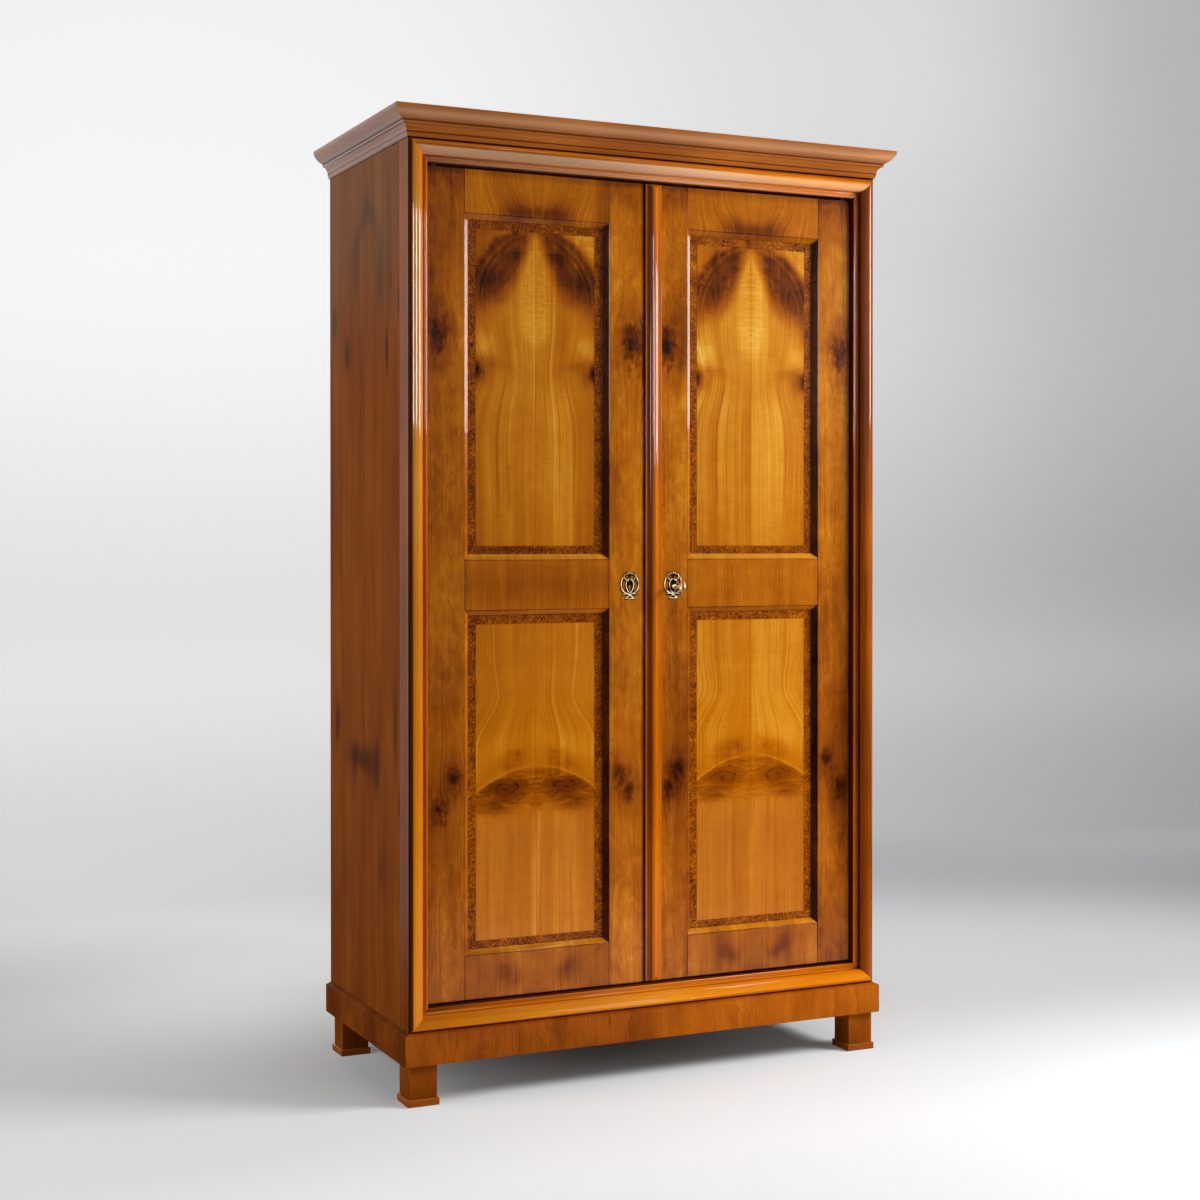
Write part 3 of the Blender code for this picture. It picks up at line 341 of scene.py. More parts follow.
class Finish:
    """A new material: its nodes, its shader and the place on the surface in metres."""

    def __init__(self, name, slot):
        self.material = bpy.data.materials.new(name)
        self.material.use_nodes = True
        self.slot = slot
        self.tree = self.material.node_tree
        self.shader = self.tree.nodes["Principled BSDF"]
        split = self.add("ShaderNodeSeparateXYZ")
        self.tree.links.new(self.add("ShaderNodeTexCoord").outputs["Object"], split.inputs[0])
        self.x, self.y, self.z = (Field(self, output) for output in split.outputs)

    def add(self, kind):
        """A new node of this kind."""
        return self.tree.nodes.new(kind)

    def plug(self, value, socket):
        """Gives a socket its value, which is a Field, another socket or a number."""
        if isinstance(value, Field):
            value = value.socket
        if isinstance(value, bpy.types.NodeSocket):
            self.tree.links.new(value, socket)
        else:
            socket.default_value = value

    def point(self, across, depth, along):
        """Three values joined into one place."""
        node = self.add("ShaderNodeCombineXYZ")
        for place, value in enumerate((across, depth, along)):
            self.plug(value, node.inputs[place])
        return node.outputs[0]

    def noise(self, across, depth, along, detail=2.0, roughness=0.5, distortion=0.0):
        """Cloudy noise from -0.5 to 0.5. Its grains are about one unit across."""
        node = self.add("ShaderNodeTexNoise")
        self.plug(self.point(across, depth, along), node.inputs["Vector"])
        for name, value in (("Scale", 1.0), ("Detail", detail), ("Roughness", roughness),
                            ("Distortion", distortion)):
            node.inputs[name].default_value = value
        return Field(self, node.outputs[0]) - 0.5

    def cells(self, across, depth, along):
        """Distance to the nearest of many scattered points, about one unit apart."""
        node = self.add("ShaderNodeTexVoronoi")
        self.plug(self.point(across, depth, along), node.inputs["Vector"])
        node.inputs["Scale"].default_value = 1.0
        return Field(self, node.outputs["Distance"])

    def spot(self, across, along, centre, size):
        """A soft round or oval stain: 1 in its middle."""
        node = self.add("ShaderNodeVectorMath")
        node.operation = "MULTIPLY_ADD"
        self.plug(self.point(across, 0.0, along), node.inputs[0])
        node.inputs[1].default_value = (1 / size[0], 0, 1 / size[1])
        node.inputs[2].default_value = (-centre[0] / size[0], 0, -centre[1] / size[1])
        square = self.add("ShaderNodeVectorMath")
        square.operation = "DOT_PRODUCT"
        for place in (0, 1):
            self.plug(node.outputs["Vector"], square.inputs[place])
        return Field(self, square.outputs["Value"]).join("MULTIPLY", -1).join("EXPONENT")

    def ramp(self, tone, stops):
        """Colours along a scale. stops is a list of (tone, colour)."""
        node = self.add("ShaderNodeValToRGB")
        elements = node.color_ramp.elements
        elements[0].position, elements[0].color = stops[0]
        elements[1].position, elements[1].color = stops[-1]
        for position, colour in stops[1:-1]:
            elements.new(position).color = colour
        self.plug(tone, node.inputs["Fac"])
        return node.outputs["Color"]

    def blend(self, share, first, second):
        """The first colour where share is 0, the second where it is 1."""
        node = self.add("ShaderNodeMix")
        node.data_type = "RGBA"
        self.plug(share, node.inputs["Factor"])
        self.plug(first, node.inputs["A"])
        self.plug(second, node.inputs["B"])
        return node.outputs["Result"]

    def relief(self, height_mm):
        """Bumps from a Field of heights in millimetres."""
        node = self.add("ShaderNodeBump")
        node.inputs["Distance"].default_value = millimetre
        node.inputs["Strength"].default_value = 1.0
        self.plug(height_mm, node.inputs["Height"])
        self.plug(node.outputs["Normal"], self.shader.inputs["Normal"])
        self.plug(node.outputs["Normal"], self.shader.inputs["Coat Normal"])

    def coat(self, weight, roughness):
        """A clear coat over the shader."""
        self.plug(weight, self.shader.inputs["Coat Weight"])
        self.shader.inputs["Coat Roughness"].default_value = roughness


print("tint of pale wood", [round(part, 3) for part in tint(214, 146, 42)])

# %% [markdown]
# ## Paper for the studio
#
# The sweep is pale paper where the camera looks at it, and it keeps the wardrobe's shadow. To
# every other ray it is dark, apart from a patch round the wardrobe, because so large a sheet
# would fill the polish with white. A faint glow, drawn in soft spots, makes the paper brighter
# on the left than on the right, as the real backdrop is.

# %% Paper finish
paper_near = 1.25
paper_far = 2.3
paper_pale = 0.86
paper_bounce = 0.26
paper_least = 0.03
paper_speck = 0.012
paper_tones = [(0.0, (0, 0, 0, 1)), (1.0, (0.945, 0.975, 1.0, 1))]
view_cosine = 0.905
view_sine = 0.425
wall_glow = 0.09
outside_glow = 0.34
floor_glows = [((-0.55, 0.80), (0.60, 0.50), 0.26), ((-0.75, 1.90), (1.00, 0.70), 0.10),
               ((1.50, 0.95), (0.90, 0.70), 0.12), ((1.60, -0.10), (0.55, 0.45), -0.11)]
contact_middle = 0.04
contact_width = 0.27
contact_depth = 0.085
contact_dark = 0.90


def paper_glow(finish):
    """How much the paper glows, from the place across the camera's view and away from it."""
    sideways = finish.x * view_cosine - finish.y * view_sine
    depth = finish.x * view_sine + finish.y * view_cosine
    wall = finish.z.rise(0.15, 2.2)
    left_glow = depth.rise(0.2, 1.4) * 0.15 + wall * 0.18 + 0.16
    right_glow = depth.rise(1.7, 3.1) * 0.25 - depth.rise(-0.2, 0.5) * 0.12 + wall * 0.15 + 0.10
    to_right = sideways.rise(-1.0, 1.3)
    glow = left_glow * (1 - to_right) + right_glow * to_right
    for centre, size, strength in floor_glows:
        glow = glow + finish.spot(finish.x, finish.y, centre, size) * strength
    glow = glow + wall * (1 - sideways.rise(1.1, 2.6)) * wall_glow
    glow = glow + (1 - finish.y.rise(-0.75, -0.35)) * 0.08
    glow = glow + finish.z.hump(0.50, 0.30) * 0.08
    glow = glow + sideways.hump(1.6, 0.9) * finish.z.rise(2.2, 3.2) * 0.08
    right_of_view = (finish.x - finish.y * 0.90 - 1.60).rise(0.3, 2.4)
    left_of_view = (finish.y * 0.142 - finish.x - 1.24).rise(0.8, 2.6)
    behind_camera = (0 - finish.y).rise(2.4, 4.5)
    return glow + right_of_view.most(left_of_view).most(behind_camera) * outside_glow


def contact_shade(finish):
    """Darkness under the wardrobe, where no glow belongs."""
    back = finish.y - contact_middle
    away = finish.x * finish.x / contact_width + back * back / contact_depth
    return away.join("MULTIPLY", -1).join("EXPONENT") * contact_dark


def paper_finish():
    """Pale paper to the camera. Away from the wardrobe it is dark to everything else."""
    finish = Finish("studio_paper", None)
    light_path = finish.add("ShaderNodeLightPath")
    mirrored = Field(finish, light_path.outputs["Is Glossy Ray"]) * finish.y.rise(0.6, 1.6)
    seen = Field(finish, light_path.outputs["Is Camera Ray"]).most(mirrored)
    seen = seen.most(light_path.outputs["Is Transmission Ray"])
    from_middle = (finish.x * finish.x + finish.y * finish.y) ** 0.5
    near = 1 - from_middle.rise(paper_near, paper_far)
    specks = finish.noise(finish.x * 3, finish.y * 3, finish.z * 3, detail=3.0)
    bounce = near * paper_bounce + paper_least
    level = seen * (paper_pale - bounce) + bounce + specks * paper_speck
    finish.plug(finish.ramp(level, paper_tones), finish.shader.inputs["Base Color"])
    finish.plug(seen * paper_glow(finish) * (1 - contact_shade(finish)),
                finish.shader.inputs["Emission Strength"])
    finish.shader.inputs["Emission Color"].default_value = (1.0, 0.995, 0.985, 1.0)
    finish.shader.inputs["Roughness"].default_value = 0.85
    finish.shader.inputs["Specular IOR Level"].default_value = 0.0
    return finish


studio_sweep.data.materials.append(paper_finish().material)
print("paper", len(floor_glows), "glowing spots")

# %% [markdown]
# ## Grain and polish
#
# All the show wood here is one fruitwood under orange shellac, so its finishes share three
# helpers: the streaks and fibres of plain grain, the knot with its bent grain, and the polish.
# Streaks are noise that is stretched along the board. All widths and lengths are in metres.

# %% Grain, knots and polish
door_tones = [(0.0, tint(18, 6, 1)), (0.18, tint(62, 23, 2)), (0.36, tint(118, 53, 2)),
              (0.52, tint(166, 86, 4)), (0.66, tint(198, 116, 12)), (0.80, tint(228, 157, 42)),
              (1.0, tint(250, 206, 104))]
frame_tones = [(0.0, tint(22, 8, 2)), (0.20, tint(78, 30, 4)), (0.40, tint(146, 68, 5)),
               (0.56, tint(194, 98, 4)), (0.70, tint(218, 122, 8)), (0.85, tint(235, 149, 28)),
               (1.0, tint(248, 188, 84))]
case_tones = [(0.0, tint(22, 8, 4)), (0.22, tint(66, 28, 12)), (0.42, tint(112, 54, 20)),
              (0.58, tint(150, 78, 26)), (0.74, tint(186, 108, 38)), (1.0, tint(226, 162, 88))]
broad_pitch = 0.024
broad_length = 0.55
streak_pitch = 0.0046
streak_length = 0.30
fibre_pitch = 0.0011
fibre_length = 0.045
ring_pitch = 0.0085
ring_length = 0.60
ring_dark = 0.085
cloud_width = 0.10
cloud_length = 0.26
wave_length = 0.085
rub_pitch = 0.006
rub_height_mm = 0.006
pore_height_mm = 0.010
polish_roughness = 0.04


def board_ways(finish, along_axis):
    """The place on a board that lies along an axis: (across, depth, along)."""
    return {"x": (finish.y, finish.z, finish.x), "y": (finish.x, finish.z, finish.y),
            "z": (finish.x, finish.y, finish.z)}[along_axis]


def grain(finish, across, depth, along, cloud=0.34, streak=0.20, fibre=0.14, broad=0.22):
    """Tone shifts of plain grain that runs along one way."""
    streaks = finish.noise(across / streak_pitch, depth / streak_pitch, along / streak_length,
                           detail=3.0, roughness=0.65)
    wide = finish.noise(across / broad_pitch, depth / broad_pitch, along / broad_length,
                        detail=1.5)
    fibres = finish.noise(across / fibre_pitch, depth / fibre_pitch, along / fibre_length,
                          detail=1.0)
    clouds = finish.noise(across / cloud_width, depth / cloud_width, along / cloud_length,
                          detail=2.0)
    rings = finish.noise(across / ring_pitch, depth / ring_pitch, along / ring_length, detail=1.0)
    lines = (1 - abs(rings).rise(0.0, 0.05)) * wide.rise(-0.12, 0.16) * ring_dark
    tone = streaks * streak + fibres * fibre + clouds * cloud + wide * broad - lines
    return tone, fibres


def knots(finish, across, along, places):
    """Where grain bends round its knots: (sideways shift in metres, darkness)."""
    shift, dark = 0.0, 0.0
    wild = finish.noise(across / 0.013, 3.0, along / 0.018, detail=3.0, roughness=0.60)
    for centre, radius in places:
        halo = finish.spot(across + wild * 0.010, along + wild * 0.018, centre,
                           (radius * 2.0, radius * 3.5))
        eye = finish.spot(across + wild * 0.007, along + wild * 0.010, centre,
                          (radius * 0.62, radius * 0.92))
        rings = (halo * 9.0 + wild * 4.0).sine()
        shift = (across - centre[0]) * halo * 0.85 + shift
        dark = eye * (wild * 0.3 + 0.13) + halo * (wild * 0.60 + rings * 0.045 + 0.25) + dark
    return shift, dark


def french_polish(finish, colour, fibres, gloss=0.30, coat=0.85, wave=0.30, lustre=0.06):
    """Clear shellac over the wood: a sharp coat with a gentle wave, and open grain below it."""
    finish.plug(colour, finish.shader.inputs["Base Color"])
    finish.plug(fibres * 0.16 + gloss, finish.shader.inputs["Roughness"])
    finish.shader.inputs["Specular IOR Level"].default_value = lustre
    finish.coat(coat, polish_roughness)
    waves = finish.noise(finish.x / wave_length, finish.y / wave_length, finish.z / wave_length,
                         detail=1.5)
    rub = finish.noise(finish.x / rub_pitch, finish.y / rub_pitch, finish.z / rub_pitch,
                       detail=1.0)
    finish.relief(waves * wave + rub * rub_height_mm + fibres * pore_height_mm)
    return finish


print("tones", len(door_tones), "and", len(case_tones))

# %% [markdown]
# ## Door veneers
#
# Stiles and rails are covered with veneer whose grain stands upright. The leaves on the two
# doors were cut one after the other from one log, so the same knots appear on both, in mirror
# image. Working with the distance from the wardrobe's middle line gives that for nothing.
#
# In the formulas, a number beside rise, hump or spot is a place or a width in metres. A number
# that multiplies says how much paler or darker something is, on a scale of tones from 0 to 1.

# %% Stile and rail veneer
stile_low, stile_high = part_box("left_outer_stile")
door_middle = 0.243
meeting_line = -0.0085
upper_knots = [((0.452, 1.474), 0.0165), ((0.038, 1.474), 0.0185)]
lower_knots = [((0.4535, 0.558), 0.0120), ((0.420, 0.618), 0.0115), ((0.069, 0.613), 0.0125),
               ((0.045, 0.573), 0.0110)]
leaf_change = 0.35
opening_half = 0.1545
opening_levels = (0.2735, 0.9425, 1.0405, 1.7115)
opening_bottoms = (0.2735, 1.0405)
bevel_width = 0.010
door_foot, door_head = stile_low.z, stile_high.z
door_outer = -stile_low.x
strip_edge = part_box("cover_strip")[0].x


def door_gap_shade(finish):
    """Painted shade on a door: along its edges by the gaps, and a strip of painted shadow cast by the
    cover strip.
    """
    foot = 1 - finish.z.rise(door_foot + 0.0002, door_foot + 0.0028)
    head = finish.z.rise(door_head - 0.0020, door_head - 0.0004)
    right = finish.x.rise(door_outer - 0.0020, door_outer - 0.0004)
    strip_shadow = finish.x.rise(strip_edge - 0.0105, strip_edge - 0.0015)
    strip_shadow = strip_shadow * (1 - finish.x.above(meeting_line))
    return (foot + head + right + strip_shadow).least(1.0)


def right_half(finish):
    """1 on the right half of each door, 0 on its left half."""
    return ((finish.x + door_middle).above(0.0) - finish.x.above(meeting_line)
            + (finish.x - door_middle).above(0.0))


def stile_veneer():
    """Upright grain that bends round its knots, in mirror image on the two doors."""
    finish = Finish("stile_veneer", "figured_veneer")
    away = abs(finish.x)
    leaf = finish.x.above(0.0) * leaf_change
    shift, dark = knots(finish, away, finish.z, upper_knots + lower_knots)
    wander = finish.noise(away / 0.05, leaf, finish.z / 0.16, detail=2.0)
    across = away - shift + wander * 0.020
    tone, fibres = grain(finish, across, leaf, finish.z, cloud=0.50, streak=0.20)
    # Curls, and fine contour lines where they are strong.
    curl = finish.noise(away / 0.018 + wander * 2.0, leaf, finish.z / 0.034, detail=3.0,
                        distortion=0.8)
    loops = finish.noise(across / 0.040, leaf, finish.z / 0.15, detail=1.0)
    contour = (1 - abs((loops * 42).sine())).rise(0.72, 1.0) * curl.rise(-0.20, 0.20)
    lower = 1 - finish.z.rise(0.35, 1.25)
    # Smoky stains low down, round the lower knots.
    smoky = finish.spot(away + wander * 0.02, finish.z, (0.44, 0.60), (0.030, 0.10))
    smoky = smoky + finish.spot(away + wander * 0.02, finish.z, (0.055, 0.60), (0.030, 0.09))
    left_outer = (0 - finish.x).rise(0.38, 0.43)
    right_outer = finish.x.rise(0.38, 0.43) * finish.z.rise(0.55, 0.95)
    from_seam = abs(away - door_middle)
    dark = dark * (finish.z.above(1.0) * (0.40 - left_outer * 0.45) + 0.85)
    # The bevel on the right of each opening, in painted shade as it faces away from the light,
    # its joint, painted shade in the gaps at the door's edges, and painted shade at the head.
    right_bevel_shade = 1 - from_seam.rise(opening_half - 0.0006, opening_half + 0.0001)
    right_bevel_shade = right_bevel_shade * right_half(finish)
    joint = from_seam.hump(opening_half + 0.0002, 0.0006)
    rim_shade = door_gap_shade(finish)
    under_frame = door_head - finish.z + curl * 0.012
    head_shade = ((1 - under_frame.rise(0.004, 0.016)) * 0.10
                  + (1 - under_frame.rise(0.020, 0.075)) * 0.10
                  + (1 - under_frame.rise(0.085, 0.115)) * right_outer * 0.06)
    # Painted light and shade from the window side: the right outer stile is paler, the left one
    # darker.
    level = (tone + curl * 0.30 - contour * 0.10 + 0.600 - lower * 0.055 - dark
             - smoky * (curl * 0.5 + 0.04) - away.rise(0.42, 0.47) * 0.04
             - left_outer * (finish.z.rise(0.9, 1.7) * 0.05 + 0.015)
             + (0 - finish.x).hump(0.035, 0.04) * 0.06 + right_outer * 0.05
             - finish.x.above(0.2) * lower * 0.05
             - right_bevel_shade * 0.36 - joint * 0.22 - rim_shade * 0.50 - head_shade)
    colour = finish.blend(lower * 0.45, finish.ramp(level, door_tones),
                          finish.ramp(level + 0.02, case_tones))
    return french_polish(finish, colour, fibres, coat=0.85 - right_bevel_shade.most(rim_shade) * 0.80)


def rail_veneer():
    """Upright grain, with a small crotch in the middle of each top rail."""
    finish = Finish("rail_veneer", "figured_veneer")
    from_seam = abs(abs(finish.x) - door_middle)
    leaf = finish.x.above(0.0) * leaf_change + finish.z.above(1.2) * 3.0
    wander = finish.noise(from_seam / 0.06, leaf, finish.z / 0.09, detail=2.0)
    top_share = finish.z.above(1.5)
    crotch = finish.spot(from_seam, finish.z, (0.0, 1.7115), (0.075, 0.040)) * top_share
    across = from_seam * (crotch * 0.9 + 1) + wander * 0.012
    tone, fibres = grain(finish, across, leaf, finish.z, cloud=0.30, streak=0.18)
    swirl = finish.noise(from_seam / 0.030, leaf, (finish.z + crotch * 0.02) / 0.012, detail=3.0,
                         distortion=0.6)
    side = finish.spot(from_seam + wander * 0.03, finish.z, (0.050, 1.722), (0.026, 0.026))
    side = side * top_share
    blush = (finish.spot(from_seam, finish.z + wander * 0.02, (0.072, 0.252), (0.018, 0.022))
             + finish.spot(from_seam + wander * 0.04, finish.z, (0.062, 0.222), (0.026, 0.018)))
    lower = 1 - finish.z.rise(0.30, 0.95)
    lock = finish.z.hump(0.992, 0.045) * (0 - finish.x).above(0.0)
    # Joints where a bevel meets the flat wood, and painted light on the bevels that face up.
    joint = from_seam.hump(opening_half - 0.0002, 0.0006)
    for edge_level in opening_levels:
        joint = finish.z.hump(edge_level, 0.0007) + joint
    up_bevel_light = 0.0
    for edge_level in opening_bottoms:
        up_bevel_light = (finish.z.rise(edge_level, edge_level + 0.0010)
                    * (1 - finish.z.above(edge_level + bevel_width + 0.010))) + up_bevel_light
    blotch = finish.noise(finish.x / 0.035, leaf, finish.z / 0.040, detail=4.0, roughness=0.62)
    rim_shade = door_gap_shade(finish)
    side_end = (door_middle + finish.x).rise(0.100, 0.140) * (0 - finish.x).above(0.0) * top_share
    # Painted shade in the door's gaps and in a band under the door head, below the frame.
    level = (tone + swirl * (crotch * 0.26 + 0.10) + 0.590 - crotch * 0.05
             - side * (0.13 + swirl * 0.4)
             - blush * (0.12 + wander * 0.3 + blotch * 0.5) - lower * 0.060 - lock * 0.10
             + blotch * (lower * 0.16 + 0.06) + up_bevel_light * 0.14
             - joint * 0.30 - rim_shade * 0.50
             - finish.z.hump(1.7205, 0.013) * from_seam.hump(0.0, 0.055) * 0.17
             - (1 - (door_head - finish.z).rise(0.006, 0.020)) * 0.07 - side_end * 0.15)
    colour = finish.blend(lower * 0.5 * (1 - up_bevel_light), finish.ramp(level, door_tones),
                          finish.ramp(level + 0.03, case_tones))
    return french_polish(finish, colour, fibres, coat=0.85 - rim_shade * 0.80)


stile_finish = stile_veneer()
rail_finish = rail_veneer()
print("stiles", len(stile_finish.tree.nodes), "nodes, rails", len(rail_finish.tree.nodes))

# %% [markdown]
# ## Panels: a crotch above, a vase below
#
# Each panel carries two leaves of veneer opened like a book, so its figure is a mirror image
# about the seam. The upper leaves come from a fork of the tree: a bright cone between dark
# wings, with a waist lower down where two small knots lie at the edges. The lower leaves flare
# out like a vase above a dark band with two swirls. A border of burl frames them. Burl is a
# growth full of tiny buds, so it is drawn with cells.

# %% Burl border and panel figure
field_half_width = 0.1275
upper_field_top = 1.6845
upper_field_height = 0.617
lower_opening_top = 0.9425
lower_field_top = 0.9155
lower_field_height = 0.617
wing_width = 0.150
wing_height = 0.140
wing_point = 0.030
cone_slope = 0.43
column_half_width = 0.034


def burl(finish, across, along):
    """Reddish burl: dark buds in a golden ground, and small flashes."""
    jitter = finish.noise(across / 0.003, 5.0, along / 0.003, detail=2.0)
    buds = finish.cells(across / 0.0034 + jitter * 1.6, 0.0, along / 0.0034 + jitter * 1.6)
    eyes = finish.cells(across / 0.016 + jitter * 0.6, 2.0, along / 0.016 + jitter * 0.6)
    drift = finish.noise(across / 0.03, 1.0, along / 0.03, detail=3.0, roughness=0.7)
    return (buds * 0.34 + drift * 0.55 + jitter * 0.60 + 0.225 + across.above(0.0) * 0.035
            - (1 - eyes.rise(0.05, 0.22)) * 0.26)


def joint_lines(finish, from_seam, down, height):
    """How far a point lies outside the inner field: above 0 it is on the border."""
    sideways = from_seam - field_half_width
    upright = abs(down - height / 2) - height / 2
    return sideways.most(upright)


def upper_panel_veneer():
    """Two leaves with a bright cone between dark wings and a waist below, framed in burl."""
    finish = Finish("upper_panel_veneer", "burl_panel")
    leaf = finish.x.above(0.0) * leaf_change
    own = (abs(finish.x) - door_middle).above(0.0) * 0.12
    from_seam = abs(abs(finish.x) - door_middle)
    down = upper_field_top - finish.z
    half = right_half(finish)
    # Ragged noise shifts every place a little, so that no edge of the figure is drawn clean.
    ragged = finish.noise(from_seam / 0.026, leaf + own, down / 0.030, detail=4.0, roughness=0.62)
    lateral = from_seam + ragged * 0.012
    depth = down + ragged * 0.016
    # Grain that draws in at the waist, and the fine flame across it.
    waist = down.hump(0.276, 0.060)
    bulge = waist * 0.24 + 1 - down.hump(0.43, 0.11) * 0.05
    across = from_seam * bulge
    tone, fibres = grain(finish, across, leaf + own, down / 2.0, cloud=0.20, streak=0.15,
                         fibre=0.12, broad=0.26)
    flame = finish.noise(from_seam / 0.020, leaf, down / 0.0045, detail=3.0)
    # The wings are what lies inside an oval ring and beside the cone.
    rise_left = (wing_height - depth).most(0.0) / wing_height
    sideways = (lateral + wing_point) / wing_width
    ring = (sideways * sideways + rise_left * rise_left) ** 0.5
    wing_fade = 1 - (depth - from_seam * 0.30).rise(0.066, 0.150)
    inner_edge = (lateral - depth * cone_slope * 0.8).rise(-0.008, 0.026)
    wing = inner_edge * (1 - ring.rise(0.98, 1.06)) * wing_fade
    brushed = finish.noise(ring * 6, leaf, (from_seam * 0.7 + down) / 0.050, detail=5.0,
                           roughness=0.60, distortion=1.2)
    # A pale arch over the wings, a dark band outside it, and the smoky corners.
    arch = ring.hump(0.965, 0.014) * wing_fade * lateral.rise(0.05, 0.085)
    band = ring.hump(1.09, 0.075) * (1 - depth.rise(0.10, 0.17))
    corner = (ring + ragged * 0.5).rise(1.16, 1.38) * (1 - down.rise(0.03, 0.07)) * half
    left_corner = (ring + ragged * 0.5).rise(1.08, 1.26) * (1 - down.rise(0.06, 0.11)) * (1 - half)
    edge_shade = finish.spot(lateral, depth, (0.128, 0.150), (0.030, 0.050))
    # The bright cone, which runs down into a column.
    column_edge = (depth * cone_slope).least(column_half_width)
    column_edge = column_edge * (1 - down.rise(0.175, 0.250) * 0.8)
    column = (1 - (lateral - column_edge).rise(-0.014, 0.012)) * (1 - depth.rise(0.195, 0.255))
    # Two small knots at the waist, with the shade and the pale cheek beside them.
    eye = finish.spot(lateral, down, (0.1280, 0.274), (0.0120, 0.0150))
    eye_halo = finish.spot(lateral, depth, (0.128, 0.278), (0.030, 0.026))
    shoulder = finish.spot(lateral, depth + (from_seam - 0.08) * 0.2, (0.086, 0.262),
                           (0.036, 0.012))
    side_shade = finish.spot(from_seam, down, (0.058, 0.215), (0.016, 0.060))
    cheek = finish.spot(lateral, depth, (0.110, 0.222), (0.018, 0.026))
    # Lines of growth in the lower part, and the darkest places of the wings.
    growth = across.hump(0.0790, 0.0011) + across.hump(0.0765, 0.0008) * 0.6
    growth = growth * down.rise(0.27, 0.31) * (1 - down.rise(0.50, 0.56))
    pale_strip = across.hump(0.0700, 0.0060) * down.rise(0.28, 0.34)
    dark_core = finish.spot(lateral, depth, (0.052, 0.036), (0.030, 0.020))
    low_wing = finish.spot(lateral, depth, (0.104, 0.098), (0.024, 0.034))
    # The right door is painted a little paler, painted light from the window side, and the right half
    # of each leaf pair paler low down, a painted sheen.
    level = (tone + flame * (column * 0.16 + 0.070) + 0.655 + ragged * 0.10
             - wing * (0.33 + brushed * 0.52) - dark_core * 0.05 - low_wing * 0.10 + arch * 0.10
             - band * (0.29 + ragged * 0.8) + corner * (0.11 + ragged * 0.5) - edge_shade * 0.10
             - left_corner * 0.13
             + column * 0.075 + finish.spot(from_seam, down, (0.0, 0.190), (0.040, 0.050)) * 0.06
             - eye * 0.40 - eye_halo * (0.21 + ragged * 0.4) - shoulder * 0.09 - side_shade * 0.06
             + cheek * 0.12 - growth * 0.13 + pale_strip * 0.03 - down.rise(0.47, 0.60) * 0.04
             + finish.x.above(0.0) * (down.hump(0.20, 0.12) * 0.045 + 0.035)
             + half * (1 - from_seam.rise(0.06, 0.10)) * down.rise(0.28, 0.36) * 0.055
             - (1 - finish.x.above(0.0)) * down.rise(0.30, 0.38) * 0.03)
    # Outside the inner field lies the border, beyond a fine dark joint.
    outside = joint_lines(finish, from_seam, down, upper_field_height)
    seam = from_seam.hump(0.0, 0.0006) * 0.10 + outside.hump(0.0, 0.0006) * 0.25
    wood = finish.ramp(level - seam, door_tones)
    border = finish.ramp(burl(finish, finish.x, finish.z), door_tones)
    return french_polish(finish, finish.blend(outside.above(0.0), wood, border), fibres)


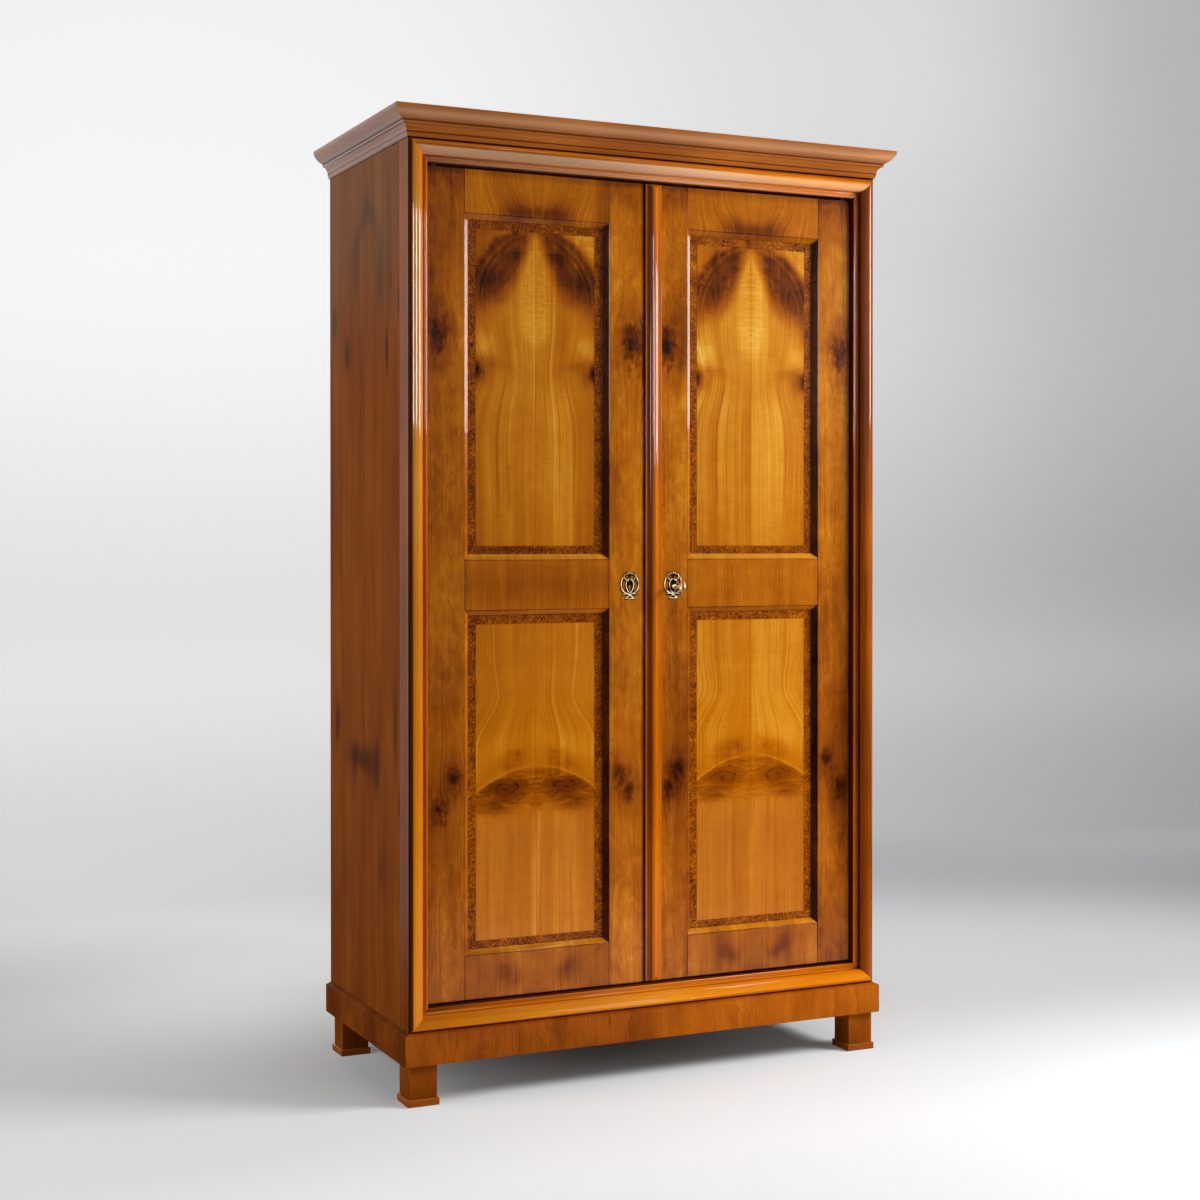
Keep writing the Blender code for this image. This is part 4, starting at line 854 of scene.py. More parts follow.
def lower_panel_veneer():
    """Two leaves that flare like a vase over a dark band with two whorls, framed in burl."""
    finish = Finish("lower_panel_veneer", "burl_panel")
    leaf = finish.x.above(0.0) * leaf_change
    own = (abs(finish.x) - door_middle).above(0.0) * 0.12
    from_seam = abs(abs(finish.x) - door_middle)
    down = lower_opening_top - finish.z
    ragged = finish.noise(from_seam / 0.026, leaf + own, down / 0.022, detail=4.0, roughness=0.62)
    # Grain that flares out like a vase, with mottle and fine flame across it.
    flare = down.rise(0.170, 0.270) * 0.42 - down.hump(0.165, 0.050) * 0.10
    across = from_seam / (flare + 1) + down.rise(0.33, 0.42) * from_seam * 0.30
    tone, fibres = grain(finish, across, leaf + own + down.rise(0.33, 0.40) * 5.0, down / 2.0,
                         cloud=0.14, streak=0.12, fibre=0.12, broad=0.17)
    mottle = finish.noise(from_seam / 0.030, leaf + own, down / 0.050, detail=4.0, roughness=0.6)
    flame = finish.noise(from_seam / 0.060, leaf, down / 0.0060, detail=2.0)
    # A pale arch, dark above and darker below.
    arch_fall = down - from_seam * from_seam * 2.8
    above_arch = finish.spot(from_seam + ragged * 0.03, arch_fall + ragged * 0.02, (0.052, 0.292),
                             (0.050, 0.022))
    below_arch = (arch_fall + ragged * 0.010).rise(0.306, 0.318)
    below_arch = below_arch * (1 - (down + ragged * 0.04).rise(0.365, 0.410))
    arch = (arch_fall + ragged * 0.006).hump(0.3085, 0.0020) * from_seam.rise(0.010, 0.030)
    brushed = finish.noise(from_seam / 0.040, leaf, (down + ragged * 0.016) / 0.0050, detail=3.0,
                           roughness=0.6)
    # Two whorls in the dark band.
    middle = (down + ragged * 0.034 + brushed * 0.008 - 0.350) / 0.0215
    outward = (from_seam + ragged * 0.040 - 0.064) / 0.060
    whorl = (middle * middle + outward * outward) ** 0.5
    brow = whorl.hump(0.95, 0.07) * (arch_fall.hump(0.320, 0.018)) * from_seam.rise(0.012, 0.024)
    rings = (1 - abs((whorl * 7.0 + ragged * 6).sine())).rise(0.55, 1.0)
    swirl = (1 - whorl.rise(0.10, 1.40)) * (from_seam + ragged * 0.02).rise(0.004, 0.026)
    spots = finish.spot(from_seam + ragged * 0.04, down + ragged * 0.03, (0.084, 0.388),
                        (0.032, 0.016))
    light_side = 1 - finish.x.above(0.0) * 0.22
    # Pale streaks below the band, and thin lines along the vase.
    streak = from_seam.hump(0.0, 0.0065) * down.rise(0.40, 0.50)
    outer_streak = (from_seam.hump(0.0940, 0.0030) + from_seam.hump(0.0850, 0.0016) * 0.6)
    outer_streak = outer_streak * down.rise(0.40, 0.48)
    vase_line = across.hump(0.0895, 0.0032) * (1 - down.rise(0.26, 0.30))
    vase_dark = (across.hump(0.0850, 0.0009) + across.hump(0.0800, 0.0008)
                 + across.hump(0.0935, 0.0008))
    vase_dark = vase_dark * (1 - down.rise(0.25, 0.30))
    half = right_half(finish)
    # On the right door the figure is paler and its dark parts weaker, painted light from the window
    # side; the right half of each leaf pair is paler up top, a painted sheen.
    level = (tone + flame * 0.045 + 0.655 + ragged * 0.05 + mottle * 0.10
             - above_arch * (0.17 + ragged * 0.4)
             - below_arch * (0.18 + brushed * 0.60) * light_side + arch * 0.09 + brow * 0.08
             - swirl * (0.16 + rings * 0.20 - brushed * 0.7) * light_side
             - spots * (0.17 + ragged * 0.5)
             + streak * 0.085 + outer_streak * 0.04 + vase_line * 0.035 - vase_dark * 0.06
             - down.rise(0.36, 0.46) * (0.010 + finish.x.above(0.0) * 0.045)
             + finish.x.above(0.0) * 0.02 + half * (1 - down.rise(0.28, 0.32)) * 0.045
             - (1 - finish.x.above(0.0)) * (1 - down.rise(0.20, 0.30)) * 0.04)
    outside = joint_lines(finish, from_seam, lower_field_top - finish.z, lower_field_height)
    seam = from_seam.hump(0.0, 0.0006) * 0.08 + outside.hump(0.0, 0.0006) * 0.25
    blush = down.rise(0.36, 0.44) * 0.55
    wood = finish.blend(blush, finish.ramp(level - seam, door_tones),
                        finish.ramp(level - seam + 0.06, case_tones))
    border = finish.ramp(burl(finish, finish.x, finish.z) - down.rise(0.5, 0.6) * 0.05, door_tones)
    return french_polish(finish, finish.blend(outside.above(0.0), wood, border), fibres)


upper_panel_finish = upper_panel_veneer()
lower_panel_finish = lower_panel_veneer()
print("upper panel", len(upper_panel_finish.tree.nodes), "nodes, lower panel",
      len(lower_panel_finish.tree.nodes))

# %% [markdown]
# ## Mouldings, plinth and sides
#
# Mouldings are solid wood worked with a scratch stock or a plane, so their grain follows their
# length. The plinth is veneered with upright grain, like the doors. The sides are plain boards
# joined edge to edge, browner than the front, with stains where old knots bleed through.
#
# One function makes every moulding's finish, because they differ only in where they are dirty,
# in painted shade, matt or under a painted sheen. Each moulding hands it small functions that say so.

# %% Moulding finish along any axis
torus_radius = 0.014
torus_sink = 0.004
frame_low_corner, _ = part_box("frame_left")
_, frame_high_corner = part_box("frame_right")
half_width = frame_high_corner.x
case_front = frame_low_corner.y + torus_radius - torus_sink
case_base, case_top = frame_low_corner.z, frame_high_corner.z
strip_low, strip_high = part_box("cover_strip")
strip_middle = (strip_low.x + strip_high.x) / 2


def moulding_wood(name, along_axis, tones, level=0.56, red=0.0, cloud=0.30, grime=None, shade=None,
                  dull=None, painted_sheen=None, sheen_colour=(222, 170, 128)):
    """Moulding finish. grime: dirt and painted shade; shade: painted shade; dull: matt polish;
    painted_sheen: a painted sheen in sheen_colour.
    """
    finish = Finish(name, "moulding")
    across, depth, along = board_ways(finish, along_axis)
    tone, fibres = grain(finish, across, depth, along, cloud=cloud, streak=0.16, fibre=0.10,
                         broad=0.16)
    specks = finish.cells(along / 0.021, across / 0.006, depth / 0.006)
    patches = finish.noise(along / 0.14, across / 0.10, depth / 0.10, detail=2.0).rise(0.06, 0.16)
    knot = (1 - specks.rise(0.05, 0.17)) * patches * 0.36
    lower = 1 - finish.z.rise(0.25, 1.2)
    amount = tone + level - knot - lower * red
    if shade:
        amount = amount - shade(finish)
    # grime gives real dirt and painted shade together: both darken the wood and dull its polish.
    dirt = grime(finish).least(1.0) if grime else 0.0
    amount = amount - dirt * (tone * 0.5 + 0.56)
    colour = finish.ramp(amount, tones)
    if painted_sheen:
        share = (painted_sheen(finish) * (tone * 1.1 + 0.56)).least(0.9)
        colour = finish.blend(share, colour, tint(*sheen_colour))
    matt = dirt.most(dull(finish)) if dull else dirt
    return french_polish(finish, colour, fibres, gloss=0.26, coat=0.85 - matt * 0.85, wave=0.05)


def groove_dirt_and_shade(finish, inward):
    """Old polish and painted shade in the frame's quirk and along its outer edge, and painted shade
    in the rebate beside the doors.
    """
    quirk = (finish.y - case_front).hump(0.0058, 0.0022)
    front = 1 - (finish.y - case_front).rise(0.0030, 0.0045)
    edge = (1 - inward.rise(0.0010, 0.0038)) * front
    rebate = inward.rise(0.0412, 0.0424)
    return quirk * 0.8 * inward.above(0.010) + edge + rebate


def upright_dirt_and_shade(finish):
    """The left member is darkest on its outer flank."""
    inward = half_width - abs(finish.x)
    front = 1 - (finish.y - case_front).rise(0.0030, 0.0045)
    flank = (1 - inward.rise(0.0045, 0.0085)) * (1 - finish.x.above(0.0)) * front
    return groove_dirt_and_shade(finish, inward) + flank


def outer_face(finish, inward):
    """The flat face towards the side boards, behind the moulded front."""
    return (finish.y - case_front).rise(0.0040, 0.0060) * (1 - inward.rise(0.0005, 0.0020))


def upright_dull(finish):
    """The polish is matt where the right member turns to its door, and on the outer faces."""
    inward = half_width - abs(finish.x)
    worn = inward.rise(0.0120, 0.0160) * (1 - inward.rise(0.0290, 0.0305)) * finish.x.above(0.0)
    return worn.most(outer_face(finish, inward))


def upright_shade(finish):
    """Painted shade on the right member's crown and inner flank, painted light and shade evening out
    the left crown, and brown outer faces on both.
    """
    inward = half_width - abs(finish.x)
    right = finish.x.above(0.0) * (1 - inward.rise(0.030, 0.036) * 0.9) * 0.34
    left = (inward.rise(0.0180, 0.0230) * 0.06 - inward.hump(0.0110, 0.0040) * 0.14)
    outside = outer_face(finish, inward)
    return (right + left * (1 - finish.x.above(0.0))) * (1 - outside) + outside * 0.35


def level_dirt_and_shade(finish):
    """The level members have old polish and painted shade in the same places as the uprights."""
    return groove_dirt_and_shade(finish, (finish.z - case_base).least(case_top - finish.z))


def level_shade(finish):
    """The top member's upper slope lies in the cornice's shade, and painted shade darkens both
    members towards the right, where the window lights them most.
    """
    slope = 1 - (case_top - finish.z).rise(0.0100, 0.0150)
    return slope * finish.z.above(1.0) * 0.20 + finish.x.rise(-0.1, 0.4) * 0.06


def cornice_dust_and_shade(finish):
    """Dust and painted shade under the crown, over the bead and at the case."""
    height = finish.z - case_top
    return (height.hump(0.0293, 0.0013) + height.hump(0.0102, 0.0011) * 0.8
            + height.hump(0.0, 0.0010))


def top_painted_sheen(finish):
    """A painted sheen, the bright floor mirrored, on the lower half of the frame's top member and its
    bead, most of all on the left.
    """
    inward = case_top - finish.z
    band = inward.rise(0.0130, 0.0165) * (1 - inward.rise(0.0275, 0.0300))
    below_band = inward.hump(0.0320, 0.0040)
    bead = inward.hump(0.0388, 0.0024)
    whole = band * 1.9 + below_band * 0.45 + bead * 1.3
    return whole * (1 - finish.x.rise(0.0, 0.35) * 0.62) * finish.z.above(1.0)


def strip_shade(finish):
    """The cover strip's left flank lies in its own shade."""
    from_crown = strip_middle - finish.x
    return from_crown.rise(0.0050, 0.0068) * (1 - from_crown.rise(0.0145, 0.0160)) * 0.22


def crown_painted_sheen(finish):
    """A painted sheen on the crown, where it mirrors the bright floor below."""
    return (finish.z - case_top).hump(0.0415, 0.0080)


moulding_finishes = {
    "upright": moulding_wood("moulding_upright", "z", frame_tones, level=0.76, red=0.05,
                             grime=upright_dirt_and_shade, shade=upright_shade, dull=upright_dull),
    "level": moulding_wood("moulding_level", "x", frame_tones, level=0.78, grime=level_dirt_and_shade,
                           shade=level_shade, painted_sheen=top_painted_sheen, sheen_colour=(255, 206, 166)),
    "strip": moulding_wood("moulding_strip", "z", frame_tones, level=0.60, red=0.03,
                           shade=strip_shade),
    "cornice": moulding_wood("moulding_cornice", "x", case_tones, level=0.68, grime=cornice_dust_and_shade,
                             painted_sheen=crown_painted_sheen),
    "return": moulding_wood("moulding_return", "y", case_tones, level=0.60, grime=cornice_dust_and_shade),
    "pad": moulding_wood("moulding_pad", "x", frame_tones, level=0.56),
}
print("mouldings", sorted(moulding_finishes))

# %% Plinth and foot veneer
def plinth_wood(name, across_axis, level):
    """Upright veneer on a board that runs along x or y."""
    finish = Finish(name, "figured_veneer")
    across, depth = (finish.x, finish.y) if across_axis == "x" else (finish.y, finish.x)
    wander = finish.noise(across / 0.07, 0.0, finish.z / 0.05, detail=2.0, distortion=0.6)
    tone, fibres = grain(finish, across + wander * 0.035, depth / 4, finish.z / 0.6, cloud=0.34,
                         streak=0.14, broad=0.14)
    bands = finish.noise(across / 0.045 + wander * 1.2, 0.0, finish.z / 0.16, detail=1.0)
    # Paler towards the right: painted light from the window side.
    amount = tone + bands * 0.22 + level + finish.x.rise(-0.3, 0.6) * 0.15
    colour = finish.blend(0.55, finish.ramp(amount, case_tones), finish.ramp(amount, frame_tones))
    return french_polish(finish, colour, fibres, gloss=0.50, coat=0.0, lustre=0.02)


plinth_finishes = {"front": plinth_wood("plinth_front_veneer", "x", 0.455),
                   "side": plinth_wood("plinth_side_veneer", "y", 0.40),
                   "foot": plinth_wood("foot_veneer", "x", 0.46)}
print("plinth finishes", sorted(plinth_finishes))

# %% Side boards
joint_width = 0.0007
side_joints = [0.150, 0.262, 0.418]
vault_middle = 0.241
vault_peak = 1.745
grey_stain = tint(58, 42, 40)
pale_wear = tint(152, 122, 98)
side_stains = [((0.440, 0.700), (0.016, 0.045), 0.20), ((0.290, 0.640), (0.085, 0.026), 0.15),
               ((0.330, 0.620), (0.016, 0.045), 0.12), ((0.190, 0.630), (0.018, 0.050), 0.13),
               ((0.077, 0.720), (0.010, 0.070), 0.14), ((0.046, 0.572), (0.010, 0.026), 0.26),
               ((0.165, 0.440), (0.022, 0.060), 0.08), ((0.049, 1.537), (0.010, 0.020), 0.30),
               ((0.124, 1.454), (0.008, 0.036), 0.26), ((0.377, 1.460), (0.018, 0.030), 0.15),
               ((0.459, 1.542), (0.012, 0.026), 0.20), ((0.316, 1.640), (0.020, 0.060), 0.17),
               ((0.172, 1.610), (0.022, 0.080), 0.17), ((0.110, 1.640), (0.012, 0.150), 0.10)]


def side_wood():
    """Boards joined edge to edge. A stain is ((from the front, height), size, darkness)."""
    finish = Finish("side_boards", "side_veneer")
    back = finish.y - case_front
    board, joint = 0.0, 0.0
    for place in side_joints:
        board = back.above(place) + board
        joint = back.hump(place, joint_width) + joint
    own = board * 3.7 + finish.x.above(0.0) * 9.0
    wander = finish.noise(back / 0.05, own, finish.z / 0.11, detail=3.0)
    across = back + wander * 0.016
    tone, fibres = grain(finish, across, own, finish.z, cloud=0.26, streak=0.16, fibre=0.12)
    stain = 0.0
    for centre, size, dark in side_stains:
        stain = finish.spot(across, finish.z + wander * 0.05, centre, size) * dark * 1.3 + stain
    peak = vault_peak - abs(back - vault_middle) * 0.75
    vault = (finish.z + wander * 0.04 - peak).hump(0.0, 0.030) * back.hump(vault_middle, 0.075)
    amount = (tone + 0.540 + finish.noise(own, 0.0, 0.0) * 0.10 - joint * 0.12
              - stain - vault * 0.15)
    wood = finish.ramp(amount, case_tones)
    wood = finish.blend(0.12, wood, finish.ramp(amount + 0.02, frame_tones))
    grey = (stain * 1.1 + vault * 0.35).least(0.45)
    wood = finish.blend(grey, wood, grey_stain)
    pale_rear = back.above(side_joints[2]) * finish.z.rise(0.9, 1.8) * 0.16
    pale_top = finish.z.rise(1.35, 1.80) * (tone * 1.2 + 0.44)
    wood = finish.blend(pale_rear + pale_top, wood, pale_wear)
    return french_polish(finish, wood, fibres, gloss=0.60, coat=0.0, lustre=0.02)


side_finish = side_wood()
print("side boards", len(side_finish.tree.nodes), "nodes")

# %% [markdown]
# ## Softwood, brass and iron
#
# Behind the polish the case is plain softwood, left dry and grown brown with age. Each of the
# three back boards has its own grain and a dark line where it laps its neighbour. The
# escutcheons and key are brass, worn bright where hands touch them and brown in the hollows.
# Bolts, lock and pivots are iron with a little rust. Dirt could be found from each hollow's
# shape, but a plane through the thin plates is enough here: all that lies behind it is dark.

# %% Softwood, brass and iron finishes
pine_tones = [(0.0, tint(58, 34, 18)), (0.35, tint(122, 82, 46)), (0.6, tint(168, 122, 74)),
              (1.0, tint(208, 168, 112))]
brass_tones = [(0.0, tint(40, 24, 10)), (0.35, tint(128, 92, 46)), (0.6, tint(214, 178, 112)),
               (0.8, tint(246, 222, 168)), (1.0, tint(255, 242, 206))]
iron_tones = [(0.0, tint(34, 26, 22)), (0.5, tint(82, 72, 66)), (0.8, tint(120, 84, 56)),
              (1.0, tint(150, 140, 132))]
year_ring = 0.0021
lap_width = 0.0012
middle_board_low, middle_board_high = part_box("back_board_2")


def softwood(name, along_axis):
    """Dry softwood whose boards lie along an axis."""
    finish = Finish(name, "inner_pine")
    across, depth, along = board_ways(finish, along_axis)
    shade = 0.52
    if along_axis == "z":
        left_lap, right_lap = middle_board_low.x, middle_board_high.x
        board = finish.x.above(left_lap) + finish.x.above(right_lap) * 1.7
        along = along + board * 3.3
        depth = depth + board * 0.31
        lap = finish.x.hump(left_lap, lap_width) + finish.x.hump(right_lap, lap_width)
        shade = 0.50 + finish.noise(board * 2.3, 0.0, 0.0) * 0.16 - lap * 0.34
    wander = finish.noise(across / 0.10, depth / 0.10, along / 0.45, detail=1.0)
    rings = ((across + depth * 0.6 + wander * 0.06) / year_ring).sine()
    tone, fibres = grain(finish, across, depth, along, cloud=0.30, streak=0.30, fibre=0.26)
    knot = finish.cells(across / 0.13, depth / 0.13, along / 0.34)
    amount = tone + rings * 0.055 + shade - (1 - knot.rise(0.06, 0.10)) * 0.40
    finish.plug(finish.ramp(amount, pine_tones), finish.shader.inputs["Base Color"])
    finish.plug(fibres * 0.25 + 0.68, finish.shader.inputs["Roughness"])
    finish.relief(fibres * 0.05 + rings * 0.02)
    return finish


def metal(name, slot, tones, level, roughness, grime, hollow_plane=None):
    """Worn metal. Whatever lies near the hollow plane is dark with old polish."""
    finish = Finish(name, slot)
    cloud = finish.noise(finish.x / 0.010, finish.y / 0.010, finish.z / 0.010, detail=4.0,
                         roughness=0.65)
    scratch = finish.noise(finish.x / 0.0006, finish.y / 0.0006, finish.z / 0.006, detail=1.0)
    pits = finish.cells(finish.x / 0.0021, finish.y / 0.0021, finish.z / 0.0021)
    dirt = cloud.rise(0.02, 0.16)
    tone = cloud * 0.7 + scratch * 0.2 + level - dirt * grime
    if hollow_plane is not None:
        tone = tone - (finish.y - hollow_plane).rise(-0.0013, -0.0008) * 0.86
    finish.plug(finish.ramp(tone, tones), finish.shader.inputs["Base Color"])
    finish.shader.inputs["Metallic"].default_value = 1.0
    finish.plug(cloud * 0.25 + dirt * 0.18 + roughness, finish.shader.inputs["Roughness"])
    finish.relief(cloud * 0.05 + scratch * 0.006 + pits * 0.012)
    return finish


plate_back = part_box("left_escutcheon")[1].y
pine_finishes = {axis: softwood(f"softwood_{axis}", axis) for axis in "xyz"}
brass_finish = metal("brass_worn", "brass", brass_tones, 0.94, 0.30, 0.16, plate_back)
iron_finish = metal("iron_aged", "iron", iron_tones, 0.48, 0.46, 0.10)
print("metals", brass_finish.material.name, iron_finish.material.name)

# %% [markdown]
# ## Dressing a piece
#
# A finer mesh stands for its plain board in the frame: it rides on the same body, so it swings
# with its door. Edges sharper than 48 degrees stay crisp and everything else is shaded round.

# %% One helper for every dressed piece
bodies = frame["record"]["behaviour"]["bodies"]
body_of = {node: body for body, members in bodies.items() for node in members}
crisp_angle = math.radians(48)
seat_gap = 0.0003
dressed = []


def dress(name, mesh, finish, *stands_for, body=None):
    """Makes the mesh a piece with its finish, riding where the nodes it stands for ride."""
    bmesh.ops.recalc_face_normals(mesh, faces=mesh.faces)
    data = bpy.data.meshes.new(name)
    mesh.to_mesh(data)
    mesh.free()
    data.materials.append(finish.material)
    data.shade_smooth()
    data.set_sharp_from_angle(angle=crisp_angle)
    piece = bpy.data.objects.new(name, data)
    bpy.context.collection.objects.link(piece)
    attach(piece, body or body_of[stands_for[0]])
    if stands_for:
        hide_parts(*stands_for)
    even = piece.modifiers.new("even_shading", "WEIGHTED_NORMAL")
    even.weight = 100
    even.keep_sharp = True
    dressed.append(name)
    return piece


def finish_node(node, finish):
    """Keeps a node's own shape and gives it a finish."""
    data = nodes[node].data
    data.materials.clear()
    data.materials.append(finish.material)


def arc(centre, radius, first_degrees, last_degrees, steps):
    """Points along a part of a circle."""
    turns = [math.radians(first_degrees + (last_degrees - first_degrees) * step / steps)
             for step in range(steps + 1)]
    return [(centre[0] + radius * math.cos(turn), centre[1] + radius * math.sin(turn))
            for turn in turns]


def run_between(section, start, end):
    """A moulding drawn from one end to the other. start and end place a section point."""
    mesh = bmesh.new()
    rings = [[mesh.verts.new(way(a, b)) for a, b in section] for way in (start, end)]
    for near in range(len(section)):
        far = (near + 1) % len(section)
        mesh.faces.new((rings[0][near], rings[0][far], rings[1][far], rings[1][near]))
    mesh.faces.new(rings[0])
    mesh.faces.new(rings[1][::-1])
    return mesh


# %% [markdown]
# ## The moulded face frame
#
# Four lengths of one moulding frame the doors: a flattened half round, a sunk quirk and an
# inner bead, mitred at the corners. The half round is drawn in forty steps, so that a bright
# line can run down it without breaking into facets. The bottom and top members are then cut
# out for the pivot sockets and for the bolts of the left door.

# %% Frame section and its four members
frame_fillet = 0.0018
quirk_depth = 0.006
bead_radius = 0.0055
bead_depth = 0.013
frame_width = 0.043
corner_round = 0.0009
mitre_gap = seat_gap * math.sqrt(2)
frame_depth = frame_high_corner.y - case_front
torus_steps = 40
bead_steps = 18
corner_steps = 3
socket_opening = 0.003
bolt_slack = 0.0005
bolt_hole_depth = 0.0165
bolt_hole_opening = 0.004
bolt_hole_width = 0.006


def frame_section():
    """Points (in from the case's outer face, back from its front plane)."""
    centre = (frame_fillet + math.sqrt(torus_radius ** 2 - torus_sink ** 2), torus_sink)
    outer_angle = 180 + math.degrees(math.asin(torus_sink / torus_radius))
    inner_angle = 360 + math.degrees(math.asin((quirk_depth - torus_sink) / torus_radius))
    torus = arc(centre, torus_radius, outer_angle, inner_angle, torus_steps)
    bead = arc((frame_width - bead_radius, bead_depth), bead_radius, 210, 360, bead_steps)
    quirk = ((torus[-1][0] + bead[0][0]) / 2, bead[0][1])
    corner = arc((corner_round, corner_round), corner_round, 180, 270, corner_steps)
    return corner + torus + [quirk] + bead + [(frame_width, frame_depth), (0, frame_depth)]


def upright_end(side, end):
    """Places the section at the foot (end 0) or head (end 1) of an upright member."""
    def where(inward, back):
        rise = inward + mitre_gap / 2
        z = case_base + rise if end == 0 else case_top - rise
        return (side * (half_width - inward), case_front + back, z)
    return where


def level_end(row, end):
    """Places the section at the left (end 0) or right (end 1) of a level member."""
    def where(inward, back):
        x = half_width - inward - mitre_gap / 2
        z = case_base + inward if row == "bottom" else case_top - inward
        return (-x if end == 0 else x, case_front + back, z)
    return where


def box_mesh(low, high):
    """A closed box between two corners, used for cutting."""
    mesh = bmesh.new()
    bmesh.ops.create_cube(mesh, size=1)
    middle = (Vector(low) + Vector(high)) / 2
    size = Vector(high) - Vector(low)
    for vert in mesh.verts:
        vert.co = middle + size * vert.co
    return mesh


def carve(piece, low, high):
    """Cuts a box out of a piece."""
    data = bpy.data.meshes.new("chisel")
    mesh = box_mesh(low, high)
    mesh.to_mesh(data)
    mesh.free()
    chisel = bpy.data.objects.new("chisel", data)
    bpy.context.collection.objects.link(chisel)
    cut = piece.modifiers.new("cut", "BOOLEAN")
    cut.object = chisel
    bpy.context.view_layer.update()
    shaped = piece.evaluated_get(bpy.context.evaluated_depsgraph_get())
    result = bpy.data.meshes.new_from_object(shaped)
    piece.modifiers.remove(cut)
    piece.data = result
    bpy.data.objects.remove(chisel, do_unlink=True)
    result.set_sharp_from_angle(angle=crisp_angle)


section = frame_section()
for side, label in ((-1, "left"), (1, "right")):
    mesh = run_between(section, upright_end(side, 0), upright_end(side, 1))
    dress(f"frame_moulding_{label}", mesh, moulding_finishes["upright"], f"frame_{label}")
for row in ("bottom", "top"):
    mesh = run_between(section, level_end(row, 0), level_end(row, 1))
    member = dress(f"frame_moulding_{row}", mesh, moulding_finishes["level"], f"frame_{row}")
    for label in ("left", "right"):
        low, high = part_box(f"pivot_socket_{row}_{label}")
        play = Vector((seat_gap, seat_gap, seat_gap))
        opening = Vector((0, 0, socket_opening))
        if row == "bottom":
            carve(member, low - play, high + play + opening)
        else:
            carve(member, low - play - opening, high + play)
    bolt_low, bolt_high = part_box(f"left_{row}_bolt")
    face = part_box(f"pivot_socket_{row}_left")[1 if row == "bottom" else 0].z
    way = -1 if row == "bottom" else 1
    hole_low, hole_high = sorted((face + way * bolt_hole_depth, face - way * bolt_hole_opening))
    carve(member, (bolt_low.x - bolt_slack, bolt_low.y - bolt_slack, hole_low),
          (bolt_high.x + bolt_slack, bolt_low.y + bolt_hole_width, hole_high))
print("frame section", len(section), "points")

# %% [markdown]
# ## The cornice
#
# From below it steps out over a small bead, a hollow cove, a flat fillet and a full crown. It
# runs across the front and back along both sides, and stops flush with the back. It could be
# built up from blocks with bevelled edges, but one drawn section serves the front and both
# returns, and the mitres then fit by themselves.

# %% Cornice section, front and returns
cornice_bead_height = 0.0095
cornice_cove_height = 0.0150
cornice_fillet_height = 0.0055
cornice_crown_height = 0.0205
cornice_fascia_height = 0.0060
bead_projection = 0.0050
fillet_projection = 0.0160
cornice_projection = 0.036
crown_belly = 0.0028
cornice_tail = 0.030
cornice_bead_steps = 12
cove_steps = 14
crown_steps = 16
case_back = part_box("side_left")[1].y


def cornice_section():
    """Points (out from the case's face, height above the case's top)."""
    cove_top = cornice_bead_height + cornice_cove_height
    fillet_top = cove_top + cornice_fillet_height
    crown_top = fillet_top + cornice_crown_height
    points = [(-cornice_tail, seat_gap), (0, seat_gap)]
    for step in range(1, cornice_bead_steps):
        turn = math.pi * step / cornice_bead_steps
        points.append((bead_projection * math.sin(turn / 2),
                       max(cornice_bead_height / 2 * (1 - math.cos(turn)), seat_gap)))
    points.append((bead_projection, cornice_bead_height))
    cove_reach = fillet_projection - bead_projection
    for step in range(1, cove_steps + 1):
        turn = math.pi / 2 * step / cove_steps
        points.append((bead_projection + cove_reach * (1 - math.cos(turn)),
                       cornice_bead_height + cornice_cove_height * math.sin(turn)))
    crown_reach = cornice_projection - fillet_projection
    slope = math.hypot(crown_reach, cornice_crown_height)
    for step in range(crown_steps + 1):
        share = step / crown_steps
        belly = crown_belly * math.sin(math.pi * share)
        points.append((fillet_projection + crown_reach * share + belly * cornice_crown_height / slope,
                       fillet_top + cornice_crown_height * share - belly * crown_reach / slope))
    top = crown_top + cornice_fascia_height
    points += arc((cornice_projection - corner_round, top - corner_round), corner_round, 0, 90,
                  corner_steps)
    return points + [(-cornice_tail, top)]


def front_end(end):
    """Places the section at the left (end 0) or right (end 1) mitre of the front."""
    def where(outward, height):
        x = half_width + outward - mitre_gap / 2
        return (-x if end == 0 else x, case_front - outward, case_top + height)
    return where


def return_end(side, end):
    """Places the section at the mitre (end 0) or back (end 1) of a side's return."""
    def where(outward, height):
        y = case_front - outward + mitre_gap / 2 if end == 0 else case_back
        return (side * (half_width + outward), y, case_top + height)
    return where


section = cornice_section()
dress("cornice_moulding_front", run_between(section, front_end(0), front_end(1)),
      moulding_finishes["cornice"], "cornice_front")
for side, label in ((-1, "left"), (1, "right")):
    mesh = run_between(section, return_end(side, 0), return_end(side, 1))
    dress(f"cornice_moulding_{label}", mesh, moulding_finishes["return"], f"cornice_{label}")
print("cornice section", len(section), "points, top", round(case_top + section[-1][1], 4))

# %% [markdown]
# ## Cover strip
#
# A half-round strip on the right door hides the gap between the doors. It stands between two
# small coves and two lips, and its ends are cut back at a slope. It is drawn from end to end as
# the frame is. The slopes need no cut: the further a point of the section stands out, the
# shorter its run is at both ends.

# %% Cover strip
strip_lip_width = 0.002
strip_lip_height = 0.002
strip_lip_round = 0.0006
strip_crown_radius = 0.0068
strip_cove_steps = 12
strip_crown_steps = 28
strip_back = strip_high.y


